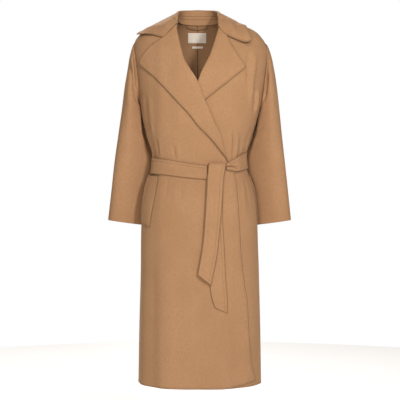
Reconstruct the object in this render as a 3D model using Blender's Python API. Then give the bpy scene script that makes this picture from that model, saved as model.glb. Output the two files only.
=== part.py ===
"""Wool wrap coat in the shape it has when it is worn.

Units are metres and +Z is up. The coat faces -Y, so the wearer's left side is at +X. The origin lies
between the two high shoulder points, where the wearer's neck comes up through the coat. The right
front wraps over the left front, and a tie belt holds both. Every piece is a wall of cloth.
"""
import math

import bmesh
import bpy
from mathutils import Vector

# ------------------------------------------------------------------ cloth and seams
WALL = 0.002                # thickness of the double-faced wool
SEAM = 0.0003               # gap between two pieces that are sewn together
LAYER = 0.0036              # from the face of one layer to the face of the layer that lies on it
TRIM_WALL = 0.0010          # thickness of the woven labels
LOOP_WALL = 0.0016          # thickness of the hanger loop
TRIM_GAP = 0.0009           # clearance between the back's inner face and what is sewn to it

# ------------------------------------------------------------------ the coat round the body
OUTLINE_POWER = 2.3         # 2 is an ellipse, more is squarer
SEAM_Y = 0.010              # the shoulder, armhole and right side seams run just behind the middle
LEFT_SEAM_SHIFT = 0.040     # the left side seam is pulled back from there by the wrap
CENTRE_BACK_X = -0.006      # the centre back seam

# Columns: z, half width, depth in front, depth behind
SECTIONS = (
    (-1.197, 0.2013, 0.150, 0.153),     # hem
    (-1.128, 0.2003, 0.149, 0.153),
    (-1.000, 0.1980, 0.147, 0.151),
    (-0.834, 0.1939, 0.143, 0.151),
    (-0.686, 0.1914, 0.138, 0.150),
    (-0.617, 0.1878, 0.134, 0.145),
    (-0.567, 0.1800, 0.128, 0.134),
    (-0.534, 0.1690, 0.121, 0.122),
    (-0.505, 0.1570, 0.116, 0.113),
    (-0.458, 0.1530, 0.112, 0.107),     # waist
    (-0.435, 0.1580, 0.114, 0.109),
    (-0.395, 0.1736, 0.121, 0.116),
    (-0.339, 0.1894, 0.130, 0.125),
    (-0.263, 0.2036, 0.138, 0.130),     # underarm
    (-0.181, 0.2145, 0.137, 0.130),
    (-0.1215, 0.2200, 0.124, 0.125),
    (-0.093, 0.2170, 0.114, 0.119),
    (-0.076, 0.2115, 0.109, 0.115),     # shoulder point
    (-0.0535, 0.1934, 0.096, 0.107),
    (-0.040, 0.1735, 0.088, 0.101),
    (-0.030, 0.1480, 0.080, 0.096),
    (-0.020, 0.1220, 0.070, 0.091),
    (-0.010, 0.0960, 0.055, 0.085),
    (0.000, 0.0700, 0.030, 0.080),      # high shoulder point
    (0.030, 0.0660, 0.028, 0.082),
    (0.060, 0.0640, 0.027, 0.084),
)

# ------------------------------------------------------------------ rows of the panels
HEM_Z = -1.197
SKIRT_ROWS = (HEM_Z, -1.08, -0.94, -0.80, -0.70, -0.63, -0.578)
WAIST_ROWS = (-0.540, -0.510, -0.482, -0.455, -0.425, -0.390, -0.355, -0.320)
SHOULDER_ROWS = (-0.061, -0.046, -0.033, -0.0215, -0.011, -0.001)
BACK_COLUMNS = 8
FRONT_RIGHT_COLUMNS = 13
FRONT_LEFT_COLUMNS = 12
BACK_NECK_DROP = 0.008      # the back neck lies this much below the high shoulder points

# ------------------------------------------------------------------ armholes and sleeves
ARMHOLE_TOP = -0.077
ARMHOLE_BOTTOM = -0.285
ARMHOLE_HALF_DEPTH = 0.060
ARMHOLE_STEPS = 8           # rows of the panels from the top of the armhole to its bottom
SLEEVE_SIDES = 2 * ARMHOLE_STEPS

# Rings of a sleeve below the armhole. Columns: x of the outer edge on the left and right sleeve, z of
# that edge, x of the inner edge on the left and right sleeve, z of that edge, y of the middle, how far
# the inner edge lies behind it and the outer edge in front of it, half depth
SLEEVE_RINGS = (
    (0.2257, 0.2205, -0.093, 0.2045, 0.2045, -0.287, 0.010, 0.002, 0.0710),
    (0.2380, 0.2300, -0.130, 0.2030, 0.2030, -0.294, 0.013, 0.010, 0.0765),
    (0.2475, 0.2380, -0.180, 0.2000, 0.2000, -0.307, 0.018, 0.018, 0.0790),
    (0.2565, 0.2475, -0.240, 0.1915, 0.1915, -0.336, 0.024, 0.025, 0.0770),
    (0.2640, 0.2560, -0.305, 0.1775, 0.1775, -0.378, 0.032, 0.031, 0.0730),
    (0.2735, 0.2690, -0.390, 0.1560, 0.1560, -0.420, 0.044, 0.034, 0.0660),
    (0.2840, 0.2820, -0.475, 0.1420, 0.1410, -0.481, 0.055, 0.034, 0.0600),
    (0.2950, 0.2930, -0.565, 0.1640, 0.1640, -0.577, 0.065, 0.030, 0.0580),
    (0.3060, 0.3050, -0.667, 0.1760, 0.1760, -0.6855, 0.069, 0.028, 0.0580),    # cuff
)

# ------------------------------------------------------------------ front edges and lapels
# Seen from the front: the edge of each front from the neck down its roll line and on to the hem
FRONT_RIGHT_EDGE = (
    (-0.0705, 0.000), (-0.0715, -0.020), (-0.0715, -0.040), (-0.0708, -0.057), (-0.0500, -0.147),
    (-0.0275, -0.188), (-0.0063, -0.222), (0.0148, -0.278), (0.0348, -0.320), (0.0517, -0.362),
    (0.0661, -0.390), (0.0915, -0.482), (0.1086, -0.510), (0.1170, -0.549), (0.1261, -0.664),
    (0.1308, -0.759), (0.1425, -0.868), (0.1513, -0.919), (0.1552, -0.999), (0.1618, -1.073),
    (0.1640, -1.129), (0.1735, -1.154), (0.1800, HEM_Z),
)
FRONT_LEFT_EDGE = (
    (0.0705, 0.000), (0.0690, -0.020), (0.0640, -0.040), (0.0592, -0.057), (0.0349, -0.136),
    (0.0063, -0.194), (-0.0035, -0.220), (-0.0297, -0.284), (-0.0504, -0.339), (-0.0800, -0.420),
    (-0.0941, -0.488), (-0.1050, -0.800), (-0.1088, HEM_Z),
)
CORNER_RISE = 0.015         # the hem of the upper wrap rises towards its front corner
CORNER_REACH = 0.30         # share of that hem over which it rises

# Seen from the front: the roll line, the top edge from the roll to the tip, the edge below the tip
LAPEL_RIGHT_ROLL = (
    (-0.0708, -0.0590), (-0.0500, -0.147), (-0.0275, -0.188), (-0.0063, -0.222), (0.0148, -0.278),
    (0.0348, -0.320), (0.0517, -0.362), (0.0661, -0.390), (0.0855, -0.462),
)
LAPEL_RIGHT_TOP = (
    (-0.0708, -0.0590), (-0.0945, -0.0700), (-0.1164, -0.0806), (-0.1518, -0.1035),
    (-0.1779, -0.1311), (-0.1905, -0.1510),
)
LAPEL_RIGHT_EDGE = (
    (-0.1905, -0.1510), (-0.1879, -0.1657), (-0.1767, -0.1764), (-0.1355, -0.2138), (-0.0925, -0.2607),
    (-0.0614, -0.2949), (-0.0332, -0.3259), (-0.0048, -0.3623), (0.0407, -0.4099), (0.0776, -0.4598),
    (0.0825, -0.4690),
)
LAPEL_LEFT_ROLL = (
    (0.0592, -0.0590), (0.0349, -0.136), (0.0063, -0.194), (-0.0035, -0.220), (-0.0297, -0.284),
    (-0.0470, -0.330),
)
LAPEL_LEFT_TOP = (
    (0.0592, -0.0590), (0.0710, -0.0655), (0.0834, -0.0728), (0.1061, -0.1137), (0.1286, -0.1480),
    (0.1489, -0.1730),
)
LAPEL_LEFT_EDGE = (
    (0.1489, -0.1730), (0.1430, -0.1805), (0.1056, -0.2123), (0.0629, -0.2472), (0.0205, -0.2812),
    (-0.0420, -0.3330),
)
LAPEL_ROWS = 13
LAPEL_COLUMNS = 6
LAPEL_ROW_POWER = 1.35      # the rows lie closer together near the collar, where the chest is round

# Where the upper wrap is lifted over what lies under it
WRAP_LIFT_X = (-0.150, -0.118)          # from none to one layer, over the edge of the under wrap
CROSSING_LIFT_X = (-0.100, -0.060)      # a second layer over the foot of the left lapel
CROSSING_LIFT_Z = (-0.400, -0.350)
NECK_FADE_Z = (-0.060, -0.120)          # no lift where both fronts meet the collar
CROSSING_FADE_Z = (-0.120, -0.200)

# ------------------------------------------------------------------ collar
# Stations from the right leaf's front edge round the back of the neck to the left leaf's front edge:
# the fold at the top of the collar, and the free outer edge.
# Columns: fold x, fold y, fold z, edge x, edge y, edge z
COLLAR_STATIONS = (
    (-0.0725, -0.064, -0.020, -0.197, -0.022, -0.050),
    (-0.0715, -0.022, 0.011, -0.176, 0.026, -0.038),
    (-0.0690, 0.020, 0.026, -0.140, 0.074, -0.043),
    (-0.0560, 0.066, 0.037, -0.088, 0.099, -0.045),
    (-0.0300, 0.090, 0.042, -0.044, 0.112, -0.045),
    (-0.0040, 0.096, 0.044, -0.004, 0.115, -0.045),
    (0.0240, 0.090, 0.042, 0.038, 0.112, -0.045),
    (0.0480, 0.066, 0.037, 0.082, 0.100, -0.045),
    (0.0610, 0.020, 0.026, 0.132, 0.074, -0.042),
    (0.0625, -0.022, 0.011, 0.156, 0.018, -0.034),
    (0.0615, -0.062, -0.022, 0.163, -0.045, -0.055),
)
COLLAR_FRACTIONS = (0.0, 0.16, 0.33, 0.58, 0.80, 1.0)     # of the way from the fold to the outer edge
# The front edges of the two leaves, at the same fractions: gorge seam, notch and free edge
LEAF_RIGHT_FRONT = (
    (-0.0708, -0.0980, -0.0560), (-0.0945, -0.1030, -0.0670), (-0.1164, -0.1020, -0.0776),
    (-0.1500, -0.0860, -0.0680), (-0.1790, -0.0700, -0.0610), (-0.2030, -0.0580, -0.0600),
)
LEAF_LEFT_FRONT = (
    (0.0592, -0.0990, -0.0560), (0.0710, -0.1040, -0.0630), (0.0834, -0.1060, -0.0703),
    (0.1160, -0.1060, -0.0860), (0.1500, -0.0950, -0.0970), (0.1672, -0.0880, -0.0880),
)
COLLAR_BULGE = 0.006        # rise of the fall above a straight line from its fold to its edge
COLLAR_CLEARANCE = 0.0058   # least distance of its face from the face of the panels
COLLAR_STEPS = 2            # columns from one station to the next
STAND_ROWS = 3
STAND_FRONT_HEIGHT = 0.004  # the stand runs out at the gorge
STAND_FRONT_INSET = 0.0012  # extra clearance of the stand from the rounder front neck edge
STAND_INSET_Y = (0.03, -0.01)
STAND_RISE = 0.0009         # clearance of its foot above the neck edge
GORGE_Z = -0.051            # height where the neck seam meets the roll lines
NECK_STEPS = 8

# ------------------------------------------------------------------ belt
# The band's course round the waist. Columns: angle from the front in degrees, z of its middle, width
BELT_COURSE = (
    (29.0, -0.4950, 0.0190),
    (34.0, -0.4930, 0.0290),
    (42.0, -0.4870, 0.0465),
    (52.0, -0.4810, 0.0525),
    (70.0, -0.4737, 0.0555),
    (90.0, -0.4700, 0.0550),
    (135.0, -0.4560, 0.0540),
    (180.0, -0.4470, 0.0535),
    (225.0, -0.4580, 0.0540),
    (270.0, -0.4840, 0.0555),
    (320.0, -0.4955, 0.0525),
    (340.0, -0.5030, 0.0500),
    (367.0, -0.5140, 0.0470),
)
BELT_STEPS = 34
BELT_LIFT = 0.0037          # face of the belt over the face of the coat
BELT_WRAP_ANGLES = ((276.0, 296.0), (50.0, 62.0))     # over the wrap it lies one layer further out
BELT_KNOT_GAP = 0.25        # degrees between the end of the band and the knot

KNOT_TOP = -0.4845
KNOT_BOTTOM = -0.5350
KNOT_LEFT_X = 0.0310        # its edge at the top, on the side of the wearer's right
KNOT_RIGHT_X = 0.0785
KNOT_SLANT = 0.14           # sideways step for each metre down
KNOT_BACK = 0.0060          # depth of its back wall's inner face, and of its front face, over the coat
KNOT_FRONT = 0.0165
KNOT_CORNER_POWER = 0.6     # 1 is a round tube, less is a flatter one
KNOT_STEPS = 4
KNOT_SIDES = 12

# The two ends of the belt. Columns: left edge's x and z, right edge's x and z, face's lift over the coat
TAIL_FRONT = (
    (0.0280, -0.4950, 0.0770, -0.4950, 0.0192),
    (0.0244, -0.5420, 0.0695, -0.5420, 0.0192),
    (0.0225, -0.5850, 0.0669, -0.5850, 0.0160),
    (0.0180, -0.6600, 0.0630, -0.6600, 0.0130),
    (0.0115, -0.7300, 0.0590, -0.7300, 0.0122),
    (0.0044, -0.7800, 0.0525, -0.7850, 0.0120),
    (-0.0063, -0.8365, 0.0356, -0.8696, 0.0120),
)
TAIL_BACK = (
    (0.0300, -0.5390, 0.0745, -0.5390, 0.0072),
    (0.0285, -0.6000, 0.0735, -0.6000, 0.0072),
    (0.0280, -0.6630, 0.0728, -0.6630, 0.0072),
    (0.0310, -0.7300, 0.0765, -0.7300, 0.0072),
    (0.0325, -0.7900, 0.0795, -0.7900, 0.0072),
    (0.0335, -0.8500, 0.0820, -0.8500, 0.0072),
    (0.0347, -0.8940, 0.0865, -0.9000, 0.0072),
    (0.0470, -0.9405, 0.0888, -0.9603, 0.0072),
)
TAIL_STEPS = 3

# ------------------------------------------------------------------ pocket welts
# Columns: x and z of the seam at the front, y and z of the opening edge at the side
WELT_RIGHT = (                          # from just under the belt down to the lower end
    (-0.1292, -0.5250, -0.0270, -0.5180),
    (-0.1349, -0.5571, -0.0300, -0.5470),
    (-0.1428, -0.5978, -0.0330, -0.5860),
    (-0.1512, -0.6407, -0.0340, -0.6280),
    (-0.1584, -0.6866, -0.0340, -0.6730),
)
WELT_LEFT = (
    (0.1575, -0.5180, 0.0400, -0.5070),
    (0.1705, -0.5500, 0.0410, -0.5390),
    (0.1805, -0.5900, 0.0420, -0.5780),
    (0.1858, -0.6350, 0.0430, -0.6220),
    (0.1888, -0.6800, 0.0440, -0.6660),
)
WELT_STEPS = 5

# ------------------------------------------------------------------ inside the back neck
HANGER_LOOP_X = (-0.045, 0.029)
HANGER_LOOP_Z = -0.0165
HANGER_LOOP_SAG = 0.008
HANGER_LOOP_WIDTH = 0.005
HANGER_LOOP_STEPS = 8
LABEL_STEPS = 4
# Columns: node, left x, right x, bottom z, top z
LABELS = (
    ("label_neck", -0.0394, 0.0228, -0.0670, -0.0346),
    ("label_size", -0.0251, 0.0122, -0.0854, -0.0768),
)

# ------------------------------------------------------------------ colours
CAMEL = (0.479, 0.270, 0.141)
CREAM = (0.730, 0.640, 0.530)
WOOL_ROUGHNESS = 0.9
LABEL_ROUGHNESS = 0.6


# ================================================================== tables and curves
def ramp(value, start, end):
    """0 at start, 1 at end, with a smooth step between them."""
    t = min(max((value - start) / (end - start), 0.0), 1.0)
    return t * t * (3.0 - 2.0 * t)


def table_value(table, key, column):
    """Reads a column of a table whose first column rises, on a smooth curve through the rows."""
    last = len(table) - 1
    if key <= table[0][0]:
        return table[0][column]
    if key >= table[last][0]:
        return table[last][column]
    low = max(i for i in range(last) if table[i][0] <= key)

    def slope(row):
        before, after = table[max(row - 1, 0)], table[min(row + 1, last)]
        return (after[column] - before[column]) / (after[0] - before[0])

    step = table[low + 1][0] - table[low][0]
    t = (key - table[low][0]) / step
    start, end = table[low][column], table[low + 1][column]
    return ((2 * t ** 3 - 3 * t ** 2 + 1) * start + (t ** 3 - 2 * t ** 2 + t) * step * slope(low)
            + (3 * t ** 2 - 2 * t ** 3) * end + (t ** 3 - t ** 2) * step * slope(low + 1))


def point_along(points, fraction):
    """Point at a fraction of a polyline's length."""
    lengths = [math.dist(a, b) for a, b in zip(points, points[1:])]
    left = fraction * sum(lengths)
    for start, end, length in zip(points, points[1:], lengths):
        if left <= length or end is points[-1]:
            t = min(left / length, 1.0)
            return tuple(a + (b - a) * t for a, b in zip(start, end))
        left -= length


def smooth_through(points, steps):
    """The points with others between them, on a smooth curve through them all."""
    line = []
    for i in range(len(points) - 1):
        before, start = points[max(i - 1, 0)], points[i]
        end, after = points[i + 1], points[min(i + 2, len(points) - 1)]
        for k in range(steps):
            t = k / steps
            line.append(0.5 * (2 * start + (end - before) * t
                               + (2 * before - 5 * start + 4 * end - after) * t ** 2
                               + (3 * start - before - 3 * end + after) * t ** 3))
    return line + [points[-1]]


def edge_x(edge, z):
    """X of a front's edge at a height, from a table of (x, z) that runs downwards."""
    for (x_above, z_above), (x_below, z_below) in zip(edge, edge[1:]):
        if z >= z_below:
            t = min(max((z_above - z) / (z_above - z_below), 0.0), 1.0)
            return x_above + (x_below - x_above) * t
    return edge[-1][0]


# ================================================================== the coat's outer form
def section(z):
    """Half width, front depth and back depth of the coat at a height."""
    return tuple(table_value(SECTIONS, z, column) for column in (1, 2, 3))


def fullness(point):
    """1 on the coat's outer form, less inside it and more outside."""
    half_width, front, back = section(point.z)
    depth = front if point.y < 0 else back
    return ((abs(point.x) / half_width) ** OUTLINE_POWER + (abs(point.y) / depth) ** OUTLINE_POWER)


def gradient(point, step=0.0005):
    """Gradient of fullness, which points straight out of the coat."""
    axes = (Vector((step, 0, 0)), Vector((0, step, 0)), Vector((0, 0, step)))
    return Vector([(fullness(point + axis) - fullness(point - axis)) / (2 * step) for axis in axes])


def outward(point):
    return gradient(point).normalized()


def angle_at_x(z, x, behind=False):
    """Angle round the body, from the front, where the section at z has this x."""
    half_width = section(z)[0]
    share = min(abs(x) / half_width, 1.0) ** (OUTLINE_POWER / 2)
    angle = math.asin(share)
    return math.copysign(math.pi - angle if behind else angle, x)


def angle_at_y(z, y, side):
    """The same for a y, on the side of the sign given."""
    _, front, back = section(z)
    share = min(abs(y) / (front if y < 0 else back), 1.0) ** (OUTLINE_POWER / 2)
    angle = math.acos(share)
    return side * (angle if y < 0 else math.pi - angle)


def torso_point(z, angle, lift=0.0):
    """Point on the outer form at a height and an angle, moved straight out by lift."""
    half_width, front, back = section(z)
    sine, cosine = math.sin(angle), math.cos(angle)
    power = 2 / OUTLINE_POWER
    x = math.copysign(half_width * abs(sine) ** power, sine)
    y = -math.copysign((front if cosine > 0 else back) * abs(cosine) ** power, cosine)
    point = Vector((x, y, z))
    return point + outward(point) * lift


def front_point(x, z, lift=0.0):
    """Point on the front half of the outer form, seen from the front at x and z."""
    return torso_point(z, angle_at_x(z, x), lift)


def kept_clear(point, clearance):
    """The point, moved out of the coat where it is nearer to its outer form than the clearance."""
    for _ in range(4):
        slope = gradient(point)
        distance = (fullness(point) - 1.0) / slope.length
        if distance >= clearance:
            break
        point = point + slope.normalized() * (clearance - distance)
    return point


# ================================================================== solids from rows of points
def grid_normals(rows, closed=False):
    """Normal at each point of a grid, the cross product of its row and column directions."""
    normals = []
    last = len(rows) - 1
    for i, row in enumerate(rows):
        count = len(row)
        line = []
        for j in range(count):
            after = (j + 1) % count if closed else min(j + 1, count - 1)
            before = (j - 1) % count if closed else max(j - 1, 0)
            along = row[after] - row[before]
            across = rows[min(i + 1, last)][j] - rows[max(i - 1, 0)][j]
            line.append(along.cross(across).normalized())
        normals.append(line)
    return normals


def cloth_material(name, colour, roughness):
    material = bpy.data.materials.new(name)
    material.use_nodes = True
    shader = material.node_tree.nodes["Principled BSDF"]
    shader.inputs["Base Color"].default_value = (*colour, 1.0)
    shader.inputs["Roughness"].default_value = roughness
    shader.inputs["Metallic"].default_value = 0.0
    return material


def add_solid(name, vertices, faces, colour=CAMEL, roughness=WOOL_ROUGHNESS):
    mesh = bpy.data.meshes.new(name)
    mesh.from_pydata(vertices, [], faces)
    model = bmesh.new()
    model.from_mesh(mesh)
    bmesh.ops.recalc_face_normals(model, faces=model.faces)
    model.to_mesh(mesh)
    model.free()
    mesh.materials.append(cloth_material(name, colour, roughness))
    piece = bpy.data.objects.new(name, mesh)
    bpy.context.scene.collection.objects.link(piece)
    return piece


def cloth_solid(name, face_rows, inner_rows, closed=False, **finish):
    """A wall between two grids of points, closed round its edges, or a tube where columns close."""
    rows, columns = len(face_rows), len(face_rows[0])
    vertices = [point for grid in (face_rows, inner_rows) for row in grid for point in row]
    inner = rows * columns
    spans = [(j, (j + 1) % columns) for j in range(columns if closed else columns - 1)]
    faces = []
    for i in range(rows - 1):
        for j, k in spans:
            a, b, c, d = (i * columns + j, i * columns + k, (i + 1) * columns + k, (i + 1) * columns + j)
            faces += [(a, b, c), (a, c, d)]
            faces += [(inner + a, inner + c, inner + b), (inner + a, inner + d, inner + c)]
    for row in (0, rows - 1):
        for j, k in spans:
            a, b = row * columns + j, row * columns + k
            faces += [(a, b, inner + b), (a, inner + b, inner + a)]
    if not closed:
        for column in (0, columns - 1):
            for i in range(rows - 1):
                a, b = i * columns + column, (i + 1) * columns + column
                faces += [(a, b, inner + b), (a, inner + b, inner + a)]
    return add_solid(name, vertices, faces, **finish)


def moved(rows, directions, distance):
    return [[point + direction * distance for point, direction in zip(row, line)]
            for row, line in zip(rows, directions)]


def body_wall(name, rows, wall=WALL, **finish):
    """A wall whose thickness goes straight in towards the body."""
    directions = [[outward(point) for point in row] for row in rows]
    return cloth_solid(name, rows, moved(rows, directions, -wall), **finish)


# ================================================================== back and fronts
def armhole_heights():
    middle = (ARMHOLE_TOP + ARMHOLE_BOTTOM) / 2
    half = (ARMHOLE_TOP - ARMHOLE_BOTTOM) / 2
    return [middle - half * math.cos(math.pi * k / ARMHOLE_STEPS) for k in range(ARMHOLE_STEPS + 1)]


def panel_heights():
    return [*SKIRT_ROWS, *WAIST_ROWS, *armhole_heights(), *SHOULDER_ROWS]


def side_y(z, side, towards):
    """Y of a panel's side edge: side seam, armhole or shoulder seam. towards is -1 for a front."""
    y = SEAM_Y
    if side > 0 and z < ARMHOLE_BOTTOM:
        y += LEFT_SEAM_SHIFT * ramp(z, ARMHOLE_BOTTOM, -0.48)
    middle = (ARMHOLE_TOP + ARMHOLE_BOTTOM) / 2
    share = (z - middle) / (ARMHOLE_TOP - middle)
    opening = ARMHOLE_HALF_DEPTH * math.sqrt(max(1 - share * share, 0.0))
    return y + towards * max(opening, SEAM / 2)


def back_panel(name, side):
    """Half of the back, from the centre back seam to the side; side is -1 for the wearer's right."""
    lowest_shoulder, top = SHOULDER_ROWS[0], SHOULDER_ROWS[-1]
    rows = []
    for z in panel_heights():
        start = angle_at_y(z, side_y(z, side, 1), side) % (2 * math.pi)
        seam_x = CENTRE_BACK_X + side * SEAM / 2
        end = angle_at_x(z, seam_x, behind=True) % (2 * math.pi)
        row = []
        for j in range(BACK_COLUMNS + 1):
            angle = start + (end - start) * j / BACK_COLUMNS
            share = max((z - lowest_shoulder) / (top - lowest_shoulder), 0.0)
            drop = BACK_NECK_DROP * share * max(-math.cos(angle), 0.0)
            row.append(torso_point(z - drop, angle))
        rows.append(row)
    return body_wall(name, rows)


def wrap_lift(x, z):
    """Lift of the upper wrap: over the under wrap, and again over the foot of the left lapel."""
    over_front = ramp(x, *WRAP_LIFT_X) * ramp(z, *NECK_FADE_Z)
    over_lapel = ramp(x, *CROSSING_LIFT_X) * ramp(z, *CROSSING_LIFT_Z) * ramp(z, *CROSSING_FADE_Z)
    return LAYER * (over_front + over_lapel)


def front_panel(name, side, edge, columns, lift):
    """A front, from its side seam and armhole to its roll line and free edge."""
    rows = []
    for z in panel_heights():
        start = angle_at_y(z, side_y(z, side, -1), side)
        end = angle_at_x(z, edge_x(edge, z))
        row = []
        for j in range(columns + 1):
            share = j / columns
            angle = start + (end - start) * share
            rise = CORNER_RISE * ramp(share, 1 - CORNER_REACH, 1.0) if z == HEM_Z and side < 0 else 0.0
            x = torso_point(z, angle).x
            row.append(torso_point(z + rise, angle, lift(x, z)))
        rows.append(row)
    return body_wall(name, rows)


def lapel(name, roll, top, edge, lift):
    """A turned-back lapel: a patch between its roll line, its top edge and the edge below its tip."""
    rows = []
    for i in range(LAPEL_ROWS + 1):
        down = (i / LAPEL_ROWS) ** LAPEL_ROW_POWER
        roll_point, edge_point = point_along(roll, down), point_along(edge, down)
        row = []
        for j in range(LAPEL_COLUMNS + 1):
            across = j / LAPEL_COLUMNS
            straight = [a + (b - a) * across for a, b in zip(top[0], top[-1])]
            bow = [t - s for t, s in zip(point_along(top, across), straight)]
            x, z = [a + (b - a) * across + c * (1 - down) for a, b, c in zip(roll_point, edge_point, bow)]
            row.append(front_point(x, z, lift(x, z) + LAYER))
        rows.append(row)
    return body_wall(name, rows)


# ================================================================== sleeves
def armhole_ring(side):
    """The sleeve's first ring, on the coat's outer form just inside the armhole."""
    middle = (ARMHOLE_TOP + ARMHOLE_BOTTOM) / 2
    half = (ARMHOLE_TOP - ARMHOLE_BOTTOM) / 2 - SEAM
    ring = []
    for k in range(SLEEVE_SIDES):
        turn = 2 * math.pi * k / SLEEVE_SIDES
        z = middle + half * math.cos(turn)
        y = SEAM_Y - (ARMHOLE_HALF_DEPTH - SEAM) * math.sin(turn)
        ring.append(torso_point(z, angle_at_y(z, y, side)))
    return ring


def sleeve_ring(side, row):
    outer_left, outer_right, outer_z, inner_left, inner_right, inner_z, middle_y, swing, half_depth = row
    outer_x, inner_x = (outer_left, inner_left) if side > 0 else (outer_right, inner_right)
    middle = Vector((side * (outer_x + inner_x) / 2, middle_y, (outer_z + inner_z) / 2))
    across = Vector((side * (outer_x - inner_x) / 2, -swing, (outer_z - inner_z) / 2))
    turns = [2 * math.pi * k / SLEEVE_SIDES for k in range(SLEEVE_SIDES)]
    return [middle + across * math.cos(t) + Vector((0, -half_depth * math.sin(t), 0)) for t in turns]


def sleeve(name, side):
    rings = [armhole_ring(side)] + [sleeve_ring(side, row) for row in SLEEVE_RINGS]
    directions = grid_normals(rings, closed=True)
    centre = sum(rings[1], Vector()) / SLEEVE_SIDES
    if directions[1][0].dot(rings[1][0] - centre) < 0:
        directions = [[-direction for direction in line] for line in directions]
    hub = sum(rings[0], Vector()) / SLEEVE_SIDES
    directions[0] = [Vector((0, p.y - hub.y, p.z - hub.z)).normalized() for p in rings[0]]
    return cloth_solid(name, rings, moved(rings, directions, -WALL), closed=True)


# ================================================================== collar
def collar_rows():
    """Rows of the fall, from the fold to the outer edge, each from the right leaf to the left one."""
    columns = [[Vector(point) for point in LEAF_RIGHT_FRONT]]
    for fold_x, fold_y, fold_z, outer_x, outer_y, outer_z in COLLAR_STATIONS:
        fold = Vector((fold_x, fold_y, fold_z))
        edge = Vector((outer_x, outer_y, outer_z))
        away = Vector((edge.x - fold.x, edge.y - fold.y, 0)).normalized()
        rise = (Vector((0, 0, 1)) + away).normalized() * COLLAR_BULGE
        columns.append([fold.lerp(edge, t) + rise * 4 * t * (1 - t) for t in COLLAR_FRACTIONS])
    columns.append([Vector(point) for point in LEAF_LEFT_FRONT])
    rows = [smooth_through(row, COLLAR_STEPS) for row in zip(*columns)]
    return [[kept_clear(point, COLLAR_CLEARANCE) for point in row] for row in rows]


def from_neck(point):
    """Level direction from the middle of the neck to a point."""
    return Vector((point.x, point.y, 0)).normalized()


def collar_fall():
    rows = collar_rows()
    rows[0] = [point + from_neck(point) * (WALL + SEAM / 2) for point in rows[0]]
    directions = grid_normals(rows)
    middle = len(rows[0]) // 2
    if directions[2][middle].y < 0:
        directions = [[-direction for direction in line] for line in directions]
    for row, line in zip(rows, directions):
        line[0], line[-1] = outward(row[0]), outward(row[-1])
    return cloth_solid("collar_fall", rows, moved(rows, directions, -WALL))


def neck_edge():
    """The neck edge of the panels, from the right roll line round the back to the left one."""
    top = SHOULDER_ROWS[-1]
    heights = [GORGE_Z + (top - GORGE_Z) * i / NECK_STEPS for i in range(NECK_STEPS + 1)]
    right = [front_point(edge_x(FRONT_RIGHT_EDGE, z), z) for z in heights]
    left = [front_point(edge_x(FRONT_LEFT_EDGE, z), z) for z in reversed(heights)]
    start = angle_at_x(top, right[-1].x) % (2 * math.pi)
    end = angle_at_x(top, left[0].x)
    back = []
    for i in range(1, 4 * NECK_STEPS):
        angle = start + (end - start) * i / (4 * NECK_STEPS)
        back.append(torso_point(top - BACK_NECK_DROP * max(-math.cos(angle), 0.0), angle))
    return [*right, *back, *left]


def collar_stand():
    folds = collar_rows()[0]
    lengths = [0.0]
    for before, after in zip(folds, folds[1:]):
        lengths.append(lengths[-1] + (after - before).length)
    neck = neck_edge()
    rows = []
    for i in range(STAND_ROWS):
        share = i / (STAND_ROWS - 1)
        row = []
        for fold, length in zip(folds, lengths):
            top = fold - from_neck(fold) * SEAM
            foot = Vector(point_along(neck, length / lengths[-1]))
            inset = SEAM + STAND_FRONT_INSET * ramp(foot.y, *STAND_INSET_Y)
            foot = foot - from_neck(foot) * inset + Vector((0, 0, STAND_RISE))
            if fold in (folds[0], folds[-1]):
                top = foot + Vector((0, 0, STAND_FRONT_HEIGHT))
            row.append(foot.lerp(top, share))
        rows.append(row)
    directions = grid_normals(rows)
    middle = len(rows[0]) // 2
    if directions[0][middle].y < 0:
        directions = [[-direction for direction in line] for line in directions]
    return cloth_solid("collar_stand", rows, moved(rows, directions, -WALL))


# ================================================================== belt
def belt_lift(degrees):
    """Lift of the band's face: one layer more where it lies over the wrap."""
    (right_start, right_end), (left_start, left_end) = BELT_WRAP_ANGLES
    over_wrap = max(ramp(degrees, right_start, right_end), 1 - ramp(degrees, left_start, left_end))
    return BELT_LIFT + LAYER * over_wrap


def knot_angle(x, share):
    """Angle of the knot's slanting side at a share of the band's width from its middle."""
    course = BELT_COURSE[0] if x == KNOT_RIGHT_X else BELT_COURSE[-1]
    z = course[1] + share * course[2]
    return angle_at_x(z, x + (z - KNOT_TOP) * KNOT_SLANT)


def belt_band():
    rows = []
    for share in (-0.5, 0.0, 0.5):
        start, end = (math.degrees(knot_angle(x, share)) for x in (KNOT_RIGHT_X, KNOT_LEFT_X))
        start, end = start + BELT_KNOT_GAP, end + 360.0 - BELT_KNOT_GAP
        row = []
        for i in range(BELT_STEPS + 1):
            degrees = start + (end - start) * i / BELT_STEPS
            middle, width = (table_value(BELT_COURSE, degrees, column) for column in (1, 2))
            row.append(torso_point(middle + share * width, math.radians(degrees), belt_lift(degrees)))
        rows.append(row)
    return body_wall("belt_band", rows)


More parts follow.
